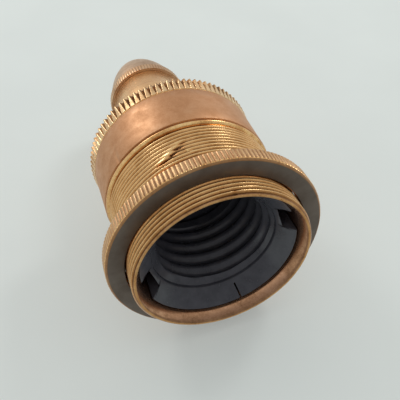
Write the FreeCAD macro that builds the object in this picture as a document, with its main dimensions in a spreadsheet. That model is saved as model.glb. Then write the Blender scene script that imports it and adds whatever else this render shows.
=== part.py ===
import FreeCAD, Part
import enum
import os
import re
import Sketcher

# Cord grip lamp holder for a screw lamp cap, standing on its mouth with +Z towards the cord.
# The origin is the centre of the mouth rim. All sizes are in millimetres.

DOCUMENT = FreeCAD.newDocument("CordGripLampHolder")
SHEET = DOCUMENT.addObject("Spreadsheet::Sheet", "Sizes")

# Driving dimensions. Radii grow outwards from the lamp thread, heights upwards from the mouth rim.
SIZES = {
    # running and seating clearances
    "curved_gap": 0.3,          # between curved faces that slide past each other
    "seat_gap": 0.1,            # between faces that meet when two pieces are done up
    "running_gap": 0.08,        # a shank or plunger in its hole
    "push_fit_gap": 0.05,       # a piece pushed into a hole of the same body
    "fit_in_gap": 0.15,         # a liner or lining inside its shell
    "knurl_overcut": 0.06,      # how far a knurl groove reaches past the rim, as a share of its depth
    # thread liner: lamp thread, funnel collar, tube
    "lamp_crest_radius": 12.25,
    "lamp_thread_depth": 1.05,
    "lamp_pitch": 3.63,
    "lamp_groove_mouth": 2.9,
    "lamp_groove_count": 4,
    "lamp_first_land": 0.15,
    "lamp_last_land": 0.5,
    "lamp_clearance": 0.45,
    "mouth_recess": 2.8,
    "funnel_depth": 3.6,
    "rim_step": 0.6,
    "rim_depth": 2.1,
    "collar_back": 3.2,
    "tube_wall": 2.6,
    "collar_step": 1.4,
    "shoulder_height": 2.8,
    "liner_top_land": 2.21,
    "wide_notch_half_angle": 12.0,
    "narrow_notch_width": 1.0,
    "notch_rim_width": 0.8,
    # threaded skirt
    "skirt_wall": 2.05,
    "skirt_thread_depth": 0.5,
    "bead_height": 1.4,
    "bead_rise": 0.25,
    "bead_slope": 0.3,
    "runout_width": 0.35,
    "spigot_wall": 1.05,
    "spigot_height": 4.0,
    "lip_thickness": 1.2,
    "lip_width": 1.65,
    # shade ring
    "ring_place": 4.5,
    "ring_thickness": 3.4,
    "ring_width": 4.28,
    "ring_rim_width": 0.8,
    "ring_knurl_inset": 0.08,
    "ring_knurl_count": 166,
    "ring_knurl_depth": 0.35,
    # cap
    "cap_edge_gap": 0.25,
    "cap_land_wall": 2.0,
    "cap_land_height": 4.4,
    "cap_wall": 1.5,
    "cap_wall_height": 13.35,
    "cap_knurl_rise": 0.4,
    "cap_knurl_height": 2.75,
    "cap_knurl_count": 96,
    "cap_knurl_depth": 0.38,
    "cap_shoulder_inset": 0.65,
    "crown_rise": 2.85,
    "crown_flat_width": 1.7,
    "crown_wall": 2.3,
    "ceiling_inset": 2.1,
    "ceiling_fall": 1.1,
    # cord grip sleeve and its locknut
    "sleeve_bore_radius": 8.4,
    "sleeve_wall": 1.7,
    "sleeve_foot_step": 0.5,
    "sleeve_neck_step": 0.4,
    "sleeve_foot_height": 16.6,
    "sleeve_neck_height": 6.3,
    "sleeve_spigot_wall": 0.75,
    "sleeve_spigot_height": 4.1,
    "sleeve_end": 0.6,
    "shelf_depth": 2.9,
    "shelf_thickness": 1.4,
    "shelf_width": 3.0,
    "locknut_width": 2.5,
    "locknut_height": 2.4,
    # cord grip nut
    "nut_band_wall": 1.7,
    "nut_band_height": 2.6,
    "nut_dome_inset": 0.52,
    "nut_dome_height": 11.9,
    "nut_dome_bulge": 0.6,
    "nut_step_height": 0.3,
    "nut_face_width": 1.6,
    "cord_hole_radius": 4.6,
    "cord_hole_depth": 3.3,
    "nut_cone_clearance": 0.6,
    # grip jaws
    "jaw_side_gap": 1.4,
    "jaw_grip": 1.4,
    "jaw_split": 0.6,
    "jaw_top_gap": 1.1,
    "jaw_ridge_pitch": 4.0,
    "jaw_ridge_depth": 0.6,
    "jaw_cone_gap": 0.35,
    # terminal base
    "base_step": 0.25,
    "base_thickness": 3.2,
    "base_screw_wall": 1.3,
    "base_screw_radius": 1.0,
    "base_screw_depth": 3.4,
    "screw_head_height": 1.1,
    # live terminal and sprung plunger
    "barrel_radius": 3.6,
    "barrel_reach": 1.0,
    "barrel_lip": 0.5,
    "barrel_bore_radius": 2.2,
    "barrel_bore_rise": 1.0,
    "barrel_flange_width": 1.6,
    "barrel_flange_height": 0.8,
    "barrel_end": 2.0,
    "plunger_reach": 1.8,
    "plunger_tip_rise": 0.7,
    "plunger_tip_radius": 0.7,
    "plunger_nose_radius": 1.6,
    "plunger_flange_height": 1.2,
    "spring_wire_width": 0.35,
    "spring_turns": 3,
    "spring_end_gap": 0.04,
    # terminals and their screws
    "wire_hole_radius": 1.1,
    "wire_hole_rise": 1.8,
    "clamp_screw_radius": 1.17,
    "clamp_head_radius": 1.7,
    "clamp_head_height": 1.5,
    "screw_slot_width": 0.5,
    "screw_slot_depth": 0.6,
    "neutral_width": 6.8,
    "neutral_depth": 4.6,
    "neutral_height": 4.6,
    "neutral_stud_radius": 0.9,
    "neutral_stud_length": 1.7,
    "earth_wall_gap": 1.25,
    "earth_width": 4.4,
    "earth_height": 3.2,
    "earth_wire_rise": 1.95,
    "earth_wire_radius": 1.0,
    "earth_stem_radius": 1.2,
    "earth_stem_length": 1.7,
    # shell contact
    "leaf_thickness": 0.4,
    "leaf_width": 4.0,
    "leaf_bend_depth": 5.6,
    "leaf_bend_run": 4.2,
    "leaf_tail_run": 3.4,
    "leaf_bulge_inset": 0.2,
    "leaf_bulge_half_height": 0.4,
    "leaf_end_inset": 0.3,
    "leaf_foot_end": 1.5,
    "leaf_foot_gap": 0.3,
    "leaf_slot_gap": 0.3,
    "leaf_slot_floor": 0.9,
    "leaf_back_gap": 0.9,
    "leaf_tip_gap": 0.8,
    # cap lining
    "lining_wall": 0.5,
    "lining_foot_gap": 1.0,
    "lining_head_gap": 0.1,
}

# Sizes that follow from the driving ones. A name that ends in _z is a height above the mouth rim.
DERIVED = {
    # radii, from the lamp thread outwards
    "lamp_root_radius": "lamp_crest_radius + lamp_thread_depth",
    "lamp_clear_radius": "lamp_crest_radius + lamp_clearance",
    "rim_radius": "lamp_root_radius + rim_step",
    "notch_inner_radius": "rim_radius + notch_rim_width",
    "tube_radius": "lamp_root_radius + tube_wall",
    "collar_radius": "tube_radius + collar_step",
    "mouth_bore_radius": "collar_radius + fit_in_gap",
    "lip_radius": "mouth_bore_radius - lip_width",
    "spigot_radius": "mouth_bore_radius + spigot_wall",
    "skirt_radius": "mouth_bore_radius + skirt_wall",
    "bead_radius": "skirt_radius + bead_rise",
    "ring_radius": "skirt_radius + ring_width",
    "ring_knurl_radius": "ring_radius - ring_knurl_inset",
    "cap_radius": "spigot_radius + curved_gap + cap_land_wall",
    "cap_knurl_radius": "cap_radius + cap_knurl_rise",
    "cap_inside_radius": "cap_radius - cap_wall",
    "cap_ceiling_radius": "cap_inside_radius - ceiling_inset",
    "lining_radius": "cap_inside_radius - fit_in_gap",
    "lining_inside_radius": "lining_radius - lining_wall",
    "base_radius": "mouth_bore_radius - base_step",
    "base_screw_offset": "lamp_clear_radius + base_screw_wall",
    "barrel_flange_radius": "barrel_radius + barrel_flange_width",
    "sleeve_thread_radius": "sleeve_bore_radius + sleeve_wall",
    "sleeve_base_radius": "sleeve_thread_radius + sleeve_foot_step",
    "sleeve_neck_radius": "sleeve_base_radius - sleeve_neck_step",
    "sleeve_spigot_radius": "sleeve_bore_radius + sleeve_spigot_wall",
    "shelf_hole_radius": "sleeve_bore_radius - shelf_width",
    "cap_crown_radius": "sleeve_base_radius + crown_flat_width",
    "locknut_radius": "sleeve_thread_radius + locknut_width",
    "nut_bore_radius": "sleeve_spigot_radius + curved_gap",
    "nut_band_radius": "sleeve_spigot_radius + nut_band_wall",
    "nut_dome_radius": "nut_band_radius - nut_dome_inset",
    "nut_cone_radius": "sleeve_bore_radius",
    "nut_face_radius": "cord_hole_radius + nut_face_width",
    "jaw_radius": "sleeve_bore_radius - jaw_side_gap",
    "jaw_bore_radius": "cord_hole_radius - jaw_grip",
    # heights, from the mouth upwards
    "collar_face_z": "mouth_recess",
    "rim_z": "collar_face_z + funnel_depth",
    "entry_top_z": "rim_z + rim_depth",
    "collar_top_z": "rim_z + collar_back",
    "thread_low_z": "entry_top_z + rim_radius - lamp_crest_radius",
    "lamp_first_groove_z": "thread_low_z + lamp_first_land + lamp_groove_mouth / 2",
    "lamp_last_groove_z": "lamp_first_groove_z + lamp_pitch * (lamp_groove_count - 1)",
    "thread_top_z": "lamp_last_groove_z + lamp_groove_mouth / 2 + lamp_last_land",
    "ring_face_z": "ring_place",
    "ring_top_z": "ring_face_z + ring_thickness",
    "lip_under_z": "thread_top_z + liner_top_land",
    "bead_top_z": "lip_under_z - spigot_height",
    "bead_low_z": "bead_top_z - bead_height",
    "lip_top_z": "lip_under_z + lip_thickness",
    "liner_shoulder_z": "lip_under_z - shoulder_height",
    "base_top_z": "lip_top_z + base_thickness",
    "leaf_foot_z": "base_top_z + leaf_foot_gap",
    "leaf_top_z": "leaf_foot_z + leaf_thickness",
    "leaf_bend_z": "lip_under_z - leaf_bend_depth",
    "leaf_bulge_z": "leaf_bend_z - leaf_bend_run",
    "leaf_end_z": "leaf_bulge_z - leaf_tail_run",
    "leaf_slot_low_z": "leaf_end_z - leaf_tip_gap",
    "barrel_low_z": "lip_top_z - barrel_reach",
    "barrel_bore_top_z": "base_top_z + barrel_bore_rise",
    "wire_z": "barrel_bore_top_z + wire_hole_rise",
    "barrel_top_z": "wire_z + barrel_end",
    "plunger_low_z": "barrel_low_z + barrel_lip",
    "plunger_tip_z": "barrel_low_z - plunger_reach",
    "plunger_top_z": "plunger_low_z + seat_gap + plunger_flange_height",
    "cap_edge_z": "bead_top_z + cap_edge_gap",
    "cap_knurl_z": "cap_edge_z + cap_wall_height",
    "cap_knurl_top_z": "cap_knurl_z + cap_knurl_height",
    "cap_crown_z": "cap_knurl_top_z + crown_rise",
    "cap_ceiling_z": "cap_crown_z - crown_wall",
    "lining_low_z": "lip_top_z + lining_foot_gap",
    "lining_top_z": "cap_ceiling_z - ceiling_fall - lining_head_gap",
    "earth_low_z": "cap_ceiling_z - earth_stem_length - earth_height",
    "earth_wire_z": "earth_low_z + earth_wire_rise",
    "locknut_low_z": "cap_ceiling_z - locknut_height",
    "sleeve_low_z": "locknut_low_z - sleeve_end",
    "sleeve_step_z": "cap_crown_z + sleeve_foot_height",
    "sleeve_shoulder_z": "sleeve_step_z + sleeve_neck_height",
    "sleeve_top_z": "sleeve_shoulder_z + sleeve_spigot_height",
    "shelf_z": "sleeve_shoulder_z - shelf_depth",
    "nut_low_z": "sleeve_shoulder_z + seat_gap",
    "nut_band_top_z": "nut_low_z + nut_band_height",
    "nut_dome_z": "nut_band_top_z + nut_step_height",
    "nut_face_z": "nut_dome_z + nut_dome_height",
    "cord_hole_low_z": "nut_face_z - cord_hole_depth",
    "nut_cone_z": "sleeve_top_z + nut_cone_clearance",
    "jaw_low_z": "shelf_z + seat_gap",
    "jaw_top_z": "cord_hole_low_z - jaw_top_gap",
    # distances of the inner pieces from the axis, and widths
    "leaf_slot_radius": "tube_radius - leaf_slot_floor",
    "leaf_arm_radius": "leaf_slot_radius - leaf_back_gap",
    "leaf_bulge_radius": "lamp_crest_radius + leaf_bulge_inset",
    "leaf_end_radius": "leaf_arm_radius - leaf_end_inset",
    "neutral_outer": "leaf_arm_radius - leaf_thickness - curved_gap",
    "neutral_offset": "neutral_outer - neutral_depth / 2",
    "neutral_inner": "neutral_outer - neutral_depth",
    "leaf_foot_radius": "neutral_offset - leaf_foot_end",
    "leaf_half_slot": "leaf_width / 2 + leaf_slot_gap",
    "earth_offset": "lining_inside_radius - earth_wall_gap - earth_width / 2",
    "clamp_hole_radius": "clamp_screw_radius + running_gap",
    "nut_cone_slope": "(nut_cone_radius - cord_hole_radius) / (cord_hole_low_z - nut_cone_z)",
}

CELLS = {name: str(number) for name, number in SIZES.items()}
CELLS.update({name: f"={rule}" for name, rule in DERIVED.items()})
for row, (name, content) in enumerate(CELLS.items(), start=1):
    SHEET.set(f"A{row}", name)
    SHEET.set(f"B{row}", content)
    SHEET.setAlias(f"B{row}", name)
DOCUMENT.recompute()


class Point(enum.IntEnum):
    """The sketcher's numbers for the points of a line or circle."""
    START = enum.auto()
    END = enum.auto()
    CENTRE = enum.auto()


ORIGIN = (-1, Point.START)
NAME = re.compile(r"\b[a-z]+(?:_[a-z]+)+\b")


def bound(formula):
    """Returns the formula with each size read from the sheet."""
    return NAME.sub(lambda found: "Sizes." + found.group(), formula)


def value(formula):
    """Returns the present value of a formula."""
    return float(SHEET.evalExpression(bound(formula)))


def new_body(label):
    """Makes an empty body whose label names its file."""
    body = DOCUMENT.addObject("PartDesign::Body", label)
    body.Label = label
    return body


def new_sketch(body, plane, name, height="0"):
    """Makes a sketch on one of the body's own origin planes, moved along the plane's normal."""
    sketch = body.newObject("Sketcher::SketchObject", f"{body.Name}_{name}")
    origin_plane = [part for part in body.Origin.OriginFeatures if part.Role == plane][0]
    sketch.AttachmentSupport = [(origin_plane, "")]
    sketch.MapMode = "FlatFace"
    sketch.setExpression("AttachmentOffset.Base.z", bound(height))
    return sketch


def tie(sketch, kind, formula, *places):
    """Adds a dimension to the sketch and binds it to the sheet."""
    number = sketch.addConstraint(Sketcher.Constraint(kind, *places, value(formula)))
    sketch.renameConstraint(number, f"size{number}")
    sketch.setExpression(f"Constraints.size{number}", bound(formula))


def draw_outline(sketch, corners):
    """Draws a closed outline through corners, each a pair of formulas (across, up)."""
    points = [FreeCAD.Vector(value(across), value(up), 0) for across, up in corners]
    first_line = sketch.GeometryCount
    for index, point in enumerate(points):
        sketch.addGeometry(Part.LineSegment(point, points[(index + 1) % len(points)]))
    for index in range(len(points)):
        meeting = (first_line + index, Point.END, first_line + (index + 1) % len(points), Point.START)
        sketch.addConstraint(Sketcher.Constraint("Coincident", *meeting))
    for index, (across, up) in enumerate(corners):
        tie(sketch, "DistanceX", across, *ORIGIN, first_line + index, Point.START)
        tie(sketch, "DistanceY", up, *ORIGIN, first_line + index, Point.START)


def draw_circle(sketch, across, up, radius):
    """Draws a circle and ties its centre and radius to the sheet."""
    centre = FreeCAD.Vector(value(across), value(up), 0)
    circle = sketch.addGeometry(Part.Circle(centre, FreeCAD.Vector(0, 0, 1), value(radius)))
    tie(sketch, "DistanceX", across, *ORIGIN, circle, Point.CENTRE)
    tie(sketch, "DistanceY", up, *ORIGIN, circle, Point.CENTRE)
    tie(sketch, "Radius", radius, circle)


def draw_rectangle(sketch, across, up):
    """Draws an upright rectangle between two pairs of formulas."""
    low_x, high_x = across
    low_y, high_y = up
    draw_outline(sketch, [(low_x, low_y), (high_x, low_y), (high_x, high_y), (low_x, high_y)])


def turn(body, corners, name="profile", angle=360, cut=False):
    """Revolves an outline of (radius, height) corners about the Z axis, to add or to cut."""
    sketch = new_sketch(body, "XZ_Plane", name)
    draw_outline(sketch, corners)
    kind = "PartDesign::Groove" if cut else "PartDesign::Revolution"
    feature = body.newObject(kind, f"{body.Name}_{name}_turned")
    feature.Profile = sketch
    feature.ReferenceAxis = (sketch, ["V_Axis"])
    feature.Angle = angle
    feature.Midplane = angle < 360
    return feature


def pad(body, sketch, length, both_ways=False):
    """Extrudes a sketch along its normal, or evenly to both sides."""
    feature = body.newObject("PartDesign::Pad", f"{sketch.Name}_pad")
    feature.Profile = sketch
    feature.setExpression("Length", bound(length))
    feature.Midplane = both_ways
    return feature


def pocket(body, sketch, length, both_ways=False, along_normal=True):
    """Cuts a sketch along its normal, against it or to both sides, and checks that it cut."""
    DOCUMENT.recompute()
    before = body.Shape.Volume
    feature = body.newObject("PartDesign::Pocket", f"{sketch.Name}_pocket")
    feature.Profile = sketch
    feature.setExpression("Length", bound(length))
    feature.Midplane = both_ways
    feature.Reversed = along_normal
    DOCUMENT.recompute()
    if not body.Shape.Volume < before:
        raise RuntimeError(f"{feature.Name} cuts nothing")
    return feature


def pattern_round(body, features, count):
    """Repeats features evenly about the Z axis."""
    pattern = body.newObject("PartDesign::PolarPattern", f"{features[0].Name}_round")
    pattern.Originals = features
    axis = [part for part in body.Origin.OriginFeatures if part.Role == "Z_Axis"][0]
    pattern.Axis = (axis, [""])
    pattern.Angle = 360
    pattern.setExpression("Occurrences", bound(count))
    body.Tip = pattern


def pattern_up(body, features, pitch, count):
    """Repeats features upwards at a pitch."""
    pattern = body.newObject("PartDesign::LinearPattern", f"{features[0].Name}_up")
    pattern.Originals = features
    axis = [part for part in body.Origin.OriginFeatures if part.Role == "Z_Axis"][0]
    pattern.Direction = (axis, [""])
    pattern.setExpression("Length", bound(f"{pitch} * ({count} - 1)"))
    pattern.setExpression("Occurrences", bound(count))
    body.Tip = pattern


def knurl(body, radius, depth, count, low, high):
    """Cuts straight V grooves that meet in sharp crests round a rim, from one height to another."""
    sketch = new_sketch(body, "XY_Plane", "knurl", low)
    outside = f"({radius} + {depth} * knurl_overcut)"
    half_width = f"{radius} * pi / {count} * (1 + 2 * knurl_overcut)"
    corners = [
        (f"{radius} - {depth}", "0"),
        (outside, f"-{half_width}"),
        (outside, half_width),
    ]
    draw_outline(sketch, corners)
    groove = pocket(body, sketch, f"{high} - {low}")
    pattern_round(body, [groove], count)


def make_threaded_skirt():
    """The lower shell: mouth, plain bead, spigot that screws into the cap, and inner lip."""
    body = new_body("threaded_skirt")
    thread_root = "skirt_radius - skirt_thread_depth"
    turn(body, [
        ("mouth_bore_radius", "0"),
        (thread_root, "0"),
        ("skirt_radius", "skirt_thread_depth"),
        ("skirt_radius", "bead_low_z - runout_width"),
        (thread_root, "bead_low_z"),
        ("bead_radius", "bead_low_z + bead_slope"),
        ("bead_radius", "bead_top_z"),
        ("spigot_radius", "bead_top_z"),
        ("spigot_radius", "lip_top_z"),
        ("lip_radius", "lip_top_z"),
        ("lip_radius", "lip_under_z"),
        ("mouth_bore_radius", "lip_under_z"),
    ])
    return body


def make_shade_ring():
    """The ring that clamps a shade against the bead: plain rim, knurled edge, bore clear of the thread."""
    body = new_body("shade_ring")
    bore = "(skirt_radius + curved_gap)"
    knurl_low = "(ring_face_z + ring_rim_width)"
    turn(body, [
        (bore, "ring_face_z"),
        ("ring_radius", "ring_face_z"),
        ("ring_radius", knurl_low),
        ("ring_knurl_radius", knurl_low),
        ("ring_knurl_radius", "ring_top_z"),
        (bore, "ring_top_z"),
    ])
    knurl(body, "ring_knurl_radius", "ring_knurl_depth", "ring_knurl_count", knurl_low, "ring_top_z")
    return body


def make_cap_shell():
    """The cover: threaded land, plain wall, coarse knurled edge and low crown with the sleeve's hole."""
    body = new_body("cap_shell")
    land = "(spigot_radius + curved_gap)"
    hole = "(sleeve_thread_radius + push_fit_gap)"
    turn(body, [
        (land, "cap_edge_z"),
        ("cap_radius", "cap_edge_z"),
        ("cap_radius", "cap_knurl_z"),
        ("cap_knurl_radius", "cap_knurl_z"),
        ("cap_knurl_radius", "cap_knurl_top_z"),
        ("cap_knurl_radius - cap_shoulder_inset", "cap_knurl_top_z"),
        ("cap_crown_radius", "cap_crown_z"),
        (hole, "cap_crown_z"),
        (hole, "cap_ceiling_z"),
        ("cap_ceiling_radius", "cap_ceiling_z"),
        ("cap_inside_radius", "cap_ceiling_z - ceiling_fall"),
        ("cap_inside_radius", "cap_edge_z + cap_land_height"),
        (land, "cap_edge_z + cap_land_height"),
    ])
    knurl(body, "cap_knurl_radius", "cap_knurl_depth", "cap_knurl_count", "cap_knurl_z", "cap_knurl_top_z")
    return body


def make_cord_grip_sleeve():
    """The neck: shoulder on the crown, thread through the cap, shelf for the jaws and spigot for the nut."""
    body = new_body("cord_grip_sleeve")
    turn(body, [
        ("sleeve_bore_radius", "sleeve_low_z"),
        ("sleeve_thread_radius", "sleeve_low_z"),
        ("sleeve_thread_radius", "cap_crown_z"),
        ("sleeve_base_radius", "cap_crown_z"),
        ("sleeve_base_radius", "sleeve_step_z - sleeve_neck_step"),
        ("sleeve_neck_radius", "sleeve_step_z"),
        ("sleeve_neck_radius", "sleeve_shoulder_z"),
        ("sleeve_spigot_radius", "sleeve_shoulder_z"),
        ("sleeve_spigot_radius", "sleeve_top_z"),
        ("sleeve_bore_radius", "sleeve_top_z"),
        ("sleeve_bore_radius", "shelf_z"),
        ("shelf_hole_radius", "shelf_z"),
        ("shelf_hole_radius", "shelf_z - shelf_thickness"),
        ("sleeve_bore_radius", "shelf_z - shelf_thickness"),
    ])
    return body


def make_sleeve_locknut():
    """The hexagon nut that clamps the sleeve's foot to the crown."""
    body = new_body("sleeve_locknut")
    sketch = new_sketch(body, "XY_Plane", "hexagon", "locknut_low_z")
    turns = range(0, 360, 60)
    draw_outline(sketch, [(f"locknut_radius * cos({turn})", f"locknut_radius * sin({turn})") for turn in turns])
    draw_circle(sketch, "0", "0", "sleeve_thread_radius + push_fit_gap")
    pad(body, sketch, "locknut_height")
    return body


def make_cord_grip_nut():
    """The domed nut: knurl band, dome in three steps of slope, cord hole and the cone that closes the jaws."""
    body = new_body("cord_grip_nut")
    dome = []
    for share in (0, 1 / 3, 2 / 3, 1):
        chord = f"nut_dome_radius + (nut_face_radius - nut_dome_radius) * {share}"
        bulge = f"nut_dome_bulge * {4 * share * (1 - share)}"
        dome.append((f"{chord} + {bulge}", f"nut_dome_z + nut_dome_height * {share}"))
    turn(body, [
        ("nut_bore_radius", "nut_low_z"),
        ("nut_band_radius", "nut_low_z"),
        ("nut_band_radius", "nut_band_top_z"),
        *dome,
        ("cord_hole_radius", "nut_face_z"),
        ("cord_hole_radius", "cord_hole_low_z"),
        ("nut_cone_radius", "nut_cone_z"),
        ("nut_bore_radius", "nut_cone_z"),
    ])
    return body


def make_grip_jaw(label, turned):
    """One half of the split collet, coned to suit the nut and ridged where it grips the cord."""
    body = new_body(label)
    corners = [
        ("jaw_bore_radius", "jaw_low_z"),
        ("jaw_radius", "jaw_low_z"),
        ("jaw_radius", "cord_hole_low_z - (jaw_radius + jaw_cone_gap - cord_hole_radius) / nut_cone_slope"),
        ("cord_hole_radius + jaw_top_gap * nut_cone_slope - jaw_cone_gap", "jaw_top_z"),
        ("jaw_bore_radius", "jaw_top_z"),
    ]
    turn(body, corners, angle=180)
    valley_low = "(jaw_low_z + jaw_ridge_pitch / 2)"
    valley = turn(body, [
        ("jaw_bore_radius - jaw_ridge_depth", valley_low),
        ("jaw_bore_radius", valley_low),
        ("jaw_bore_radius + jaw_ridge_depth", f"{valley_low} + jaw_ridge_pitch / 4"),
        ("jaw_bore_radius", f"{valley_low} + jaw_ridge_pitch / 2"),
        ("jaw_bore_radius - jaw_ridge_depth", f"{valley_low} + jaw_ridge_pitch / 2"),
    ], "valley", cut=True)
    pattern_up(body, [valley], "jaw_ridge_pitch", f"floor((jaw_top_z - {valley_low}) / jaw_ridge_pitch)")
    split = new_sketch(body, "XY_Plane", "split", "jaw_low_z")
    draw_rectangle(split, ("-jaw_split", "jaw_split / 2"), ("-2 * jaw_radius", "2 * jaw_radius"))
    pocket(body, split, "jaw_top_z - jaw_low_z")
    body.Placement = FreeCAD.Placement(FreeCAD.Vector(), FreeCAD.Rotation(FreeCAD.Vector(0, 0, 1), turned))
    return body


def make_thread_liner():
    """The moulded insert: funnel collar with its notches, coarse lamp thread and the shoulder under the lip."""
    body = new_body("thread_liner")
    turn(body, [
        ("rim_radius", "rim_z"),
        ("collar_radius", "collar_face_z"),
        ("collar_radius", "collar_top_z"),
        ("tube_radius", "collar_top_z"),
        ("tube_radius", "liner_shoulder_z"),
        ("collar_radius", "liner_shoulder_z"),
        ("collar_radius", "lip_under_z"),
        ("lamp_clear_radius", "lip_under_z"),
        ("lamp_clear_radius", "thread_top_z"),
        ("lamp_crest_radius", "thread_top_z"),
        ("lamp_crest_radius", "thread_low_z"),
        ("rim_radius", "entry_top_z"),
    ])
    groove = turn(body, [
        ("lamp_crest_radius - curved_gap", "lamp_first_groove_z - lamp_groove_mouth / 2"),
        ("lamp_crest_radius", "lamp_first_groove_z - lamp_groove_mouth / 2"),
        ("lamp_root_radius", "lamp_first_groove_z"),
        ("lamp_crest_radius", "lamp_first_groove_z + lamp_groove_mouth / 2"),
        ("lamp_crest_radius - curved_gap", "lamp_first_groove_z + lamp_groove_mouth / 2"),
    ], "lamp_thread", cut=True)
    pattern_up(body, [groove], "lamp_pitch", "lamp_groove_count")
    cut_collar_notches(body)
    slot = new_sketch(body, "XY_Plane", "contact_slot", "leaf_slot_low_z")
    slot_inside = "curved_gap - lamp_crest_radius"
    draw_rectangle(slot, ("-leaf_half_slot", "leaf_half_slot"), ("-leaf_slot_radius", slot_inside))
    pocket(body, slot, "lip_under_z - leaf_slot_low_z")
    holes = new_sketch(body, "XY_Plane", "screw_holes", "lip_under_z")
    for side in ("", "-"):
        draw_circle(holes, f"{side}base_screw_offset", "0", "base_screw_radius + push_fit_gap")
    pocket(body, holes, "base_screw_depth - lip_thickness + seat_gap", along_normal=False)
    return body


def cut_collar_notches(body):
    """Cuts two wide notches and two narrow ones through the collar, a quarter turn apart."""
    outside = "(collar_radius + curved_gap)"
    wide = new_sketch(body, "XY_Plane", "wide_notch")
    cosine = "cos(wide_notch_half_angle)"
    sine = "sin(wide_notch_half_angle)"
    draw_outline(wide, [
        (f"notch_inner_radius * {cosine}", f"-notch_inner_radius * {sine}"),
        (outside, f"-{outside} * {sine} / {cosine}"),
        (outside, f"{outside} * {sine} / {cosine}"),
        (f"notch_inner_radius * {cosine}", f"notch_inner_radius * {sine}"),
    ])
    wide_cut = pocket(body, wide, "collar_top_z")
    narrow = new_sketch(body, "XY_Plane", "narrow_notch")
    half = "narrow_notch_width / 2"
    draw_rectangle(narrow, (f"-{half}", half), ("notch_inner_radius", outside))
    narrow_cut = pocket(body, narrow, "collar_top_z")
    pattern_round(body, [wide_cut, narrow_cut], "2")


def make_terminal_base():
    """The moulded disc over the liner, with its holes and the contact's slot."""
    body = new_body("terminal_base")
    disc = new_sketch(body, "XY_Plane", "disc", "lip_top_z")
    draw_circle(disc, "0", "0", "base_radius")
    pad(body, disc, "base_thickness")
    holes = new_sketch(body, "XY_Plane", "holes", "lip_top_z")
    draw_circle(holes, "0", "0", "barrel_radius + push_fit_gap")
    for side in ("", "-"):
        draw_circle(holes, f"{side}base_screw_offset", "0", "base_screw_radius + push_fit_gap")
    draw_circle(holes, "0", "-neutral_offset", "neutral_stud_radius + push_fit_gap")
    pocket(body, holes, "base_thickness")
    slot = new_sketch(body, "XY_Plane", "contact_slot", "lip_top_z")
    arm_inside = "(leaf_arm_radius - leaf_thickness - curved_gap)"
    draw_rectangle(slot, ("-leaf_half_slot", "leaf_half_slot"), ("-leaf_slot_radius", f"-{arm_inside}"))
    pocket(body, slot, "base_thickness")
    return body


def make_live_terminal():
    """The brass barrel through the base: lipped bore for the plunger, flange, cross hole and screw hole."""
    body = new_body("live_terminal")
    flange_top = "(base_top_z + barrel_flange_height)"
    turn(body, [
        ("plunger_nose_radius + running_gap", "barrel_low_z"),
        ("barrel_radius", "barrel_low_z"),
        ("barrel_radius", "base_top_z"),
        ("barrel_flange_radius", "base_top_z"),
        ("barrel_flange_radius", flange_top),
        ("barrel_radius", flange_top),
        ("barrel_radius", "barrel_top_z"),
        ("0", "barrel_top_z"),
        ("0", "barrel_bore_top_z"),
        ("barrel_bore_radius", "barrel_bore_top_z"),
        ("barrel_bore_radius", "plunger_low_z"),
        ("plunger_nose_radius + running_gap", "plunger_low_z"),
    ])
    wire_hole = new_sketch(body, "XZ_Plane", "wire_hole")
    draw_circle(wire_hole, "0", "wire_z", "wire_hole_radius")
    pocket(body, wire_hole, "3 * barrel_radius", both_ways=True)
    screw_hole = new_sketch(body, "YZ_Plane", "screw_hole")
    draw_circle(screw_hole, "0", "wire_z", "clamp_hole_radius")
    pocket(body, screw_hole, "2 * barrel_radius")
    return body


def make_neutral_terminal():
    """The brass block that bridges the shell contact's foot, with its stud into the base."""
    body = new_body("neutral_terminal")
    block = new_sketch(body, "XY_Plane", "block", "base_top_z")
    half = "neutral_width / 2"
    draw_rectangle(block, (f"-{half}", half), ("-neutral_outer", "-neutral_inner"))
    pad(body, block, "neutral_height")
    bridge = new_sketch(body, "XY_Plane", "bridge", "base_top_z")
    bridge_across = ("-neutral_outer - seat_gap", "-neutral_inner + seat_gap")
    draw_rectangle(bridge, ("-leaf_half_slot", "leaf_half_slot"), bridge_across)
    pocket(body, bridge, "leaf_top_z - base_top_z + leaf_foot_gap")
    stud = new_sketch(body, "XY_Plane", "stud", "base_top_z - neutral_stud_length")
    draw_circle(stud, "0", "-neutral_offset", "neutral_stud_radius")
    pad(body, stud, "neutral_stud_length + leaf_top_z - base_top_z + leaf_foot_gap")
    wire_hole = new_sketch(body, "YZ_Plane", "wire_hole")
    draw_circle(wire_hole, "-neutral_offset", "wire_z", "wire_hole_radius")
    pocket(body, wire_hole, "2 * neutral_width", both_ways=True)
    screw_hole = new_sketch(body, "XZ_Plane", "screw_hole", "neutral_offset")
    draw_circle(screw_hole, "0", "wire_z", "clamp_hole_radius")
    pocket(body, screw_hole, "neutral_depth")
    return body


def make_earth_terminal():
    """The brass block riveted to the cap's ceiling by its stem, with its screw hole below."""
    body = new_body("earth_terminal")
    block = new_sketch(body, "XY_Plane", "block", "earth_low_z")
    half = "earth_width / 2"
    draw_rectangle(block, (f"-{half}", half), (f"earth_offset - {half}", f"earth_offset + {half}"))
    pad(body, block, "earth_height")
    stem = new_sketch(body, "XY_Plane", "stem", "earth_low_z + earth_height")
    draw_circle(stem, "0", "earth_offset", "earth_stem_radius")
    pad(body, stem, "earth_stem_length")
    wire_hole = new_sketch(body, "YZ_Plane", "wire_hole")
    draw_circle(wire_hole, "earth_offset", "earth_wire_z", "earth_wire_radius")
    pocket(body, wire_hole, "2 * earth_width", both_ways=True)
    screw_hole = new_sketch(body, "XY_Plane", "screw_hole", "earth_low_z")
    draw_circle(screw_hole, "0", "earth_offset", "clamp_hole_radius")
    pocket(body, screw_hole, "earth_wire_z - earth_low_z")
    return body


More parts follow.
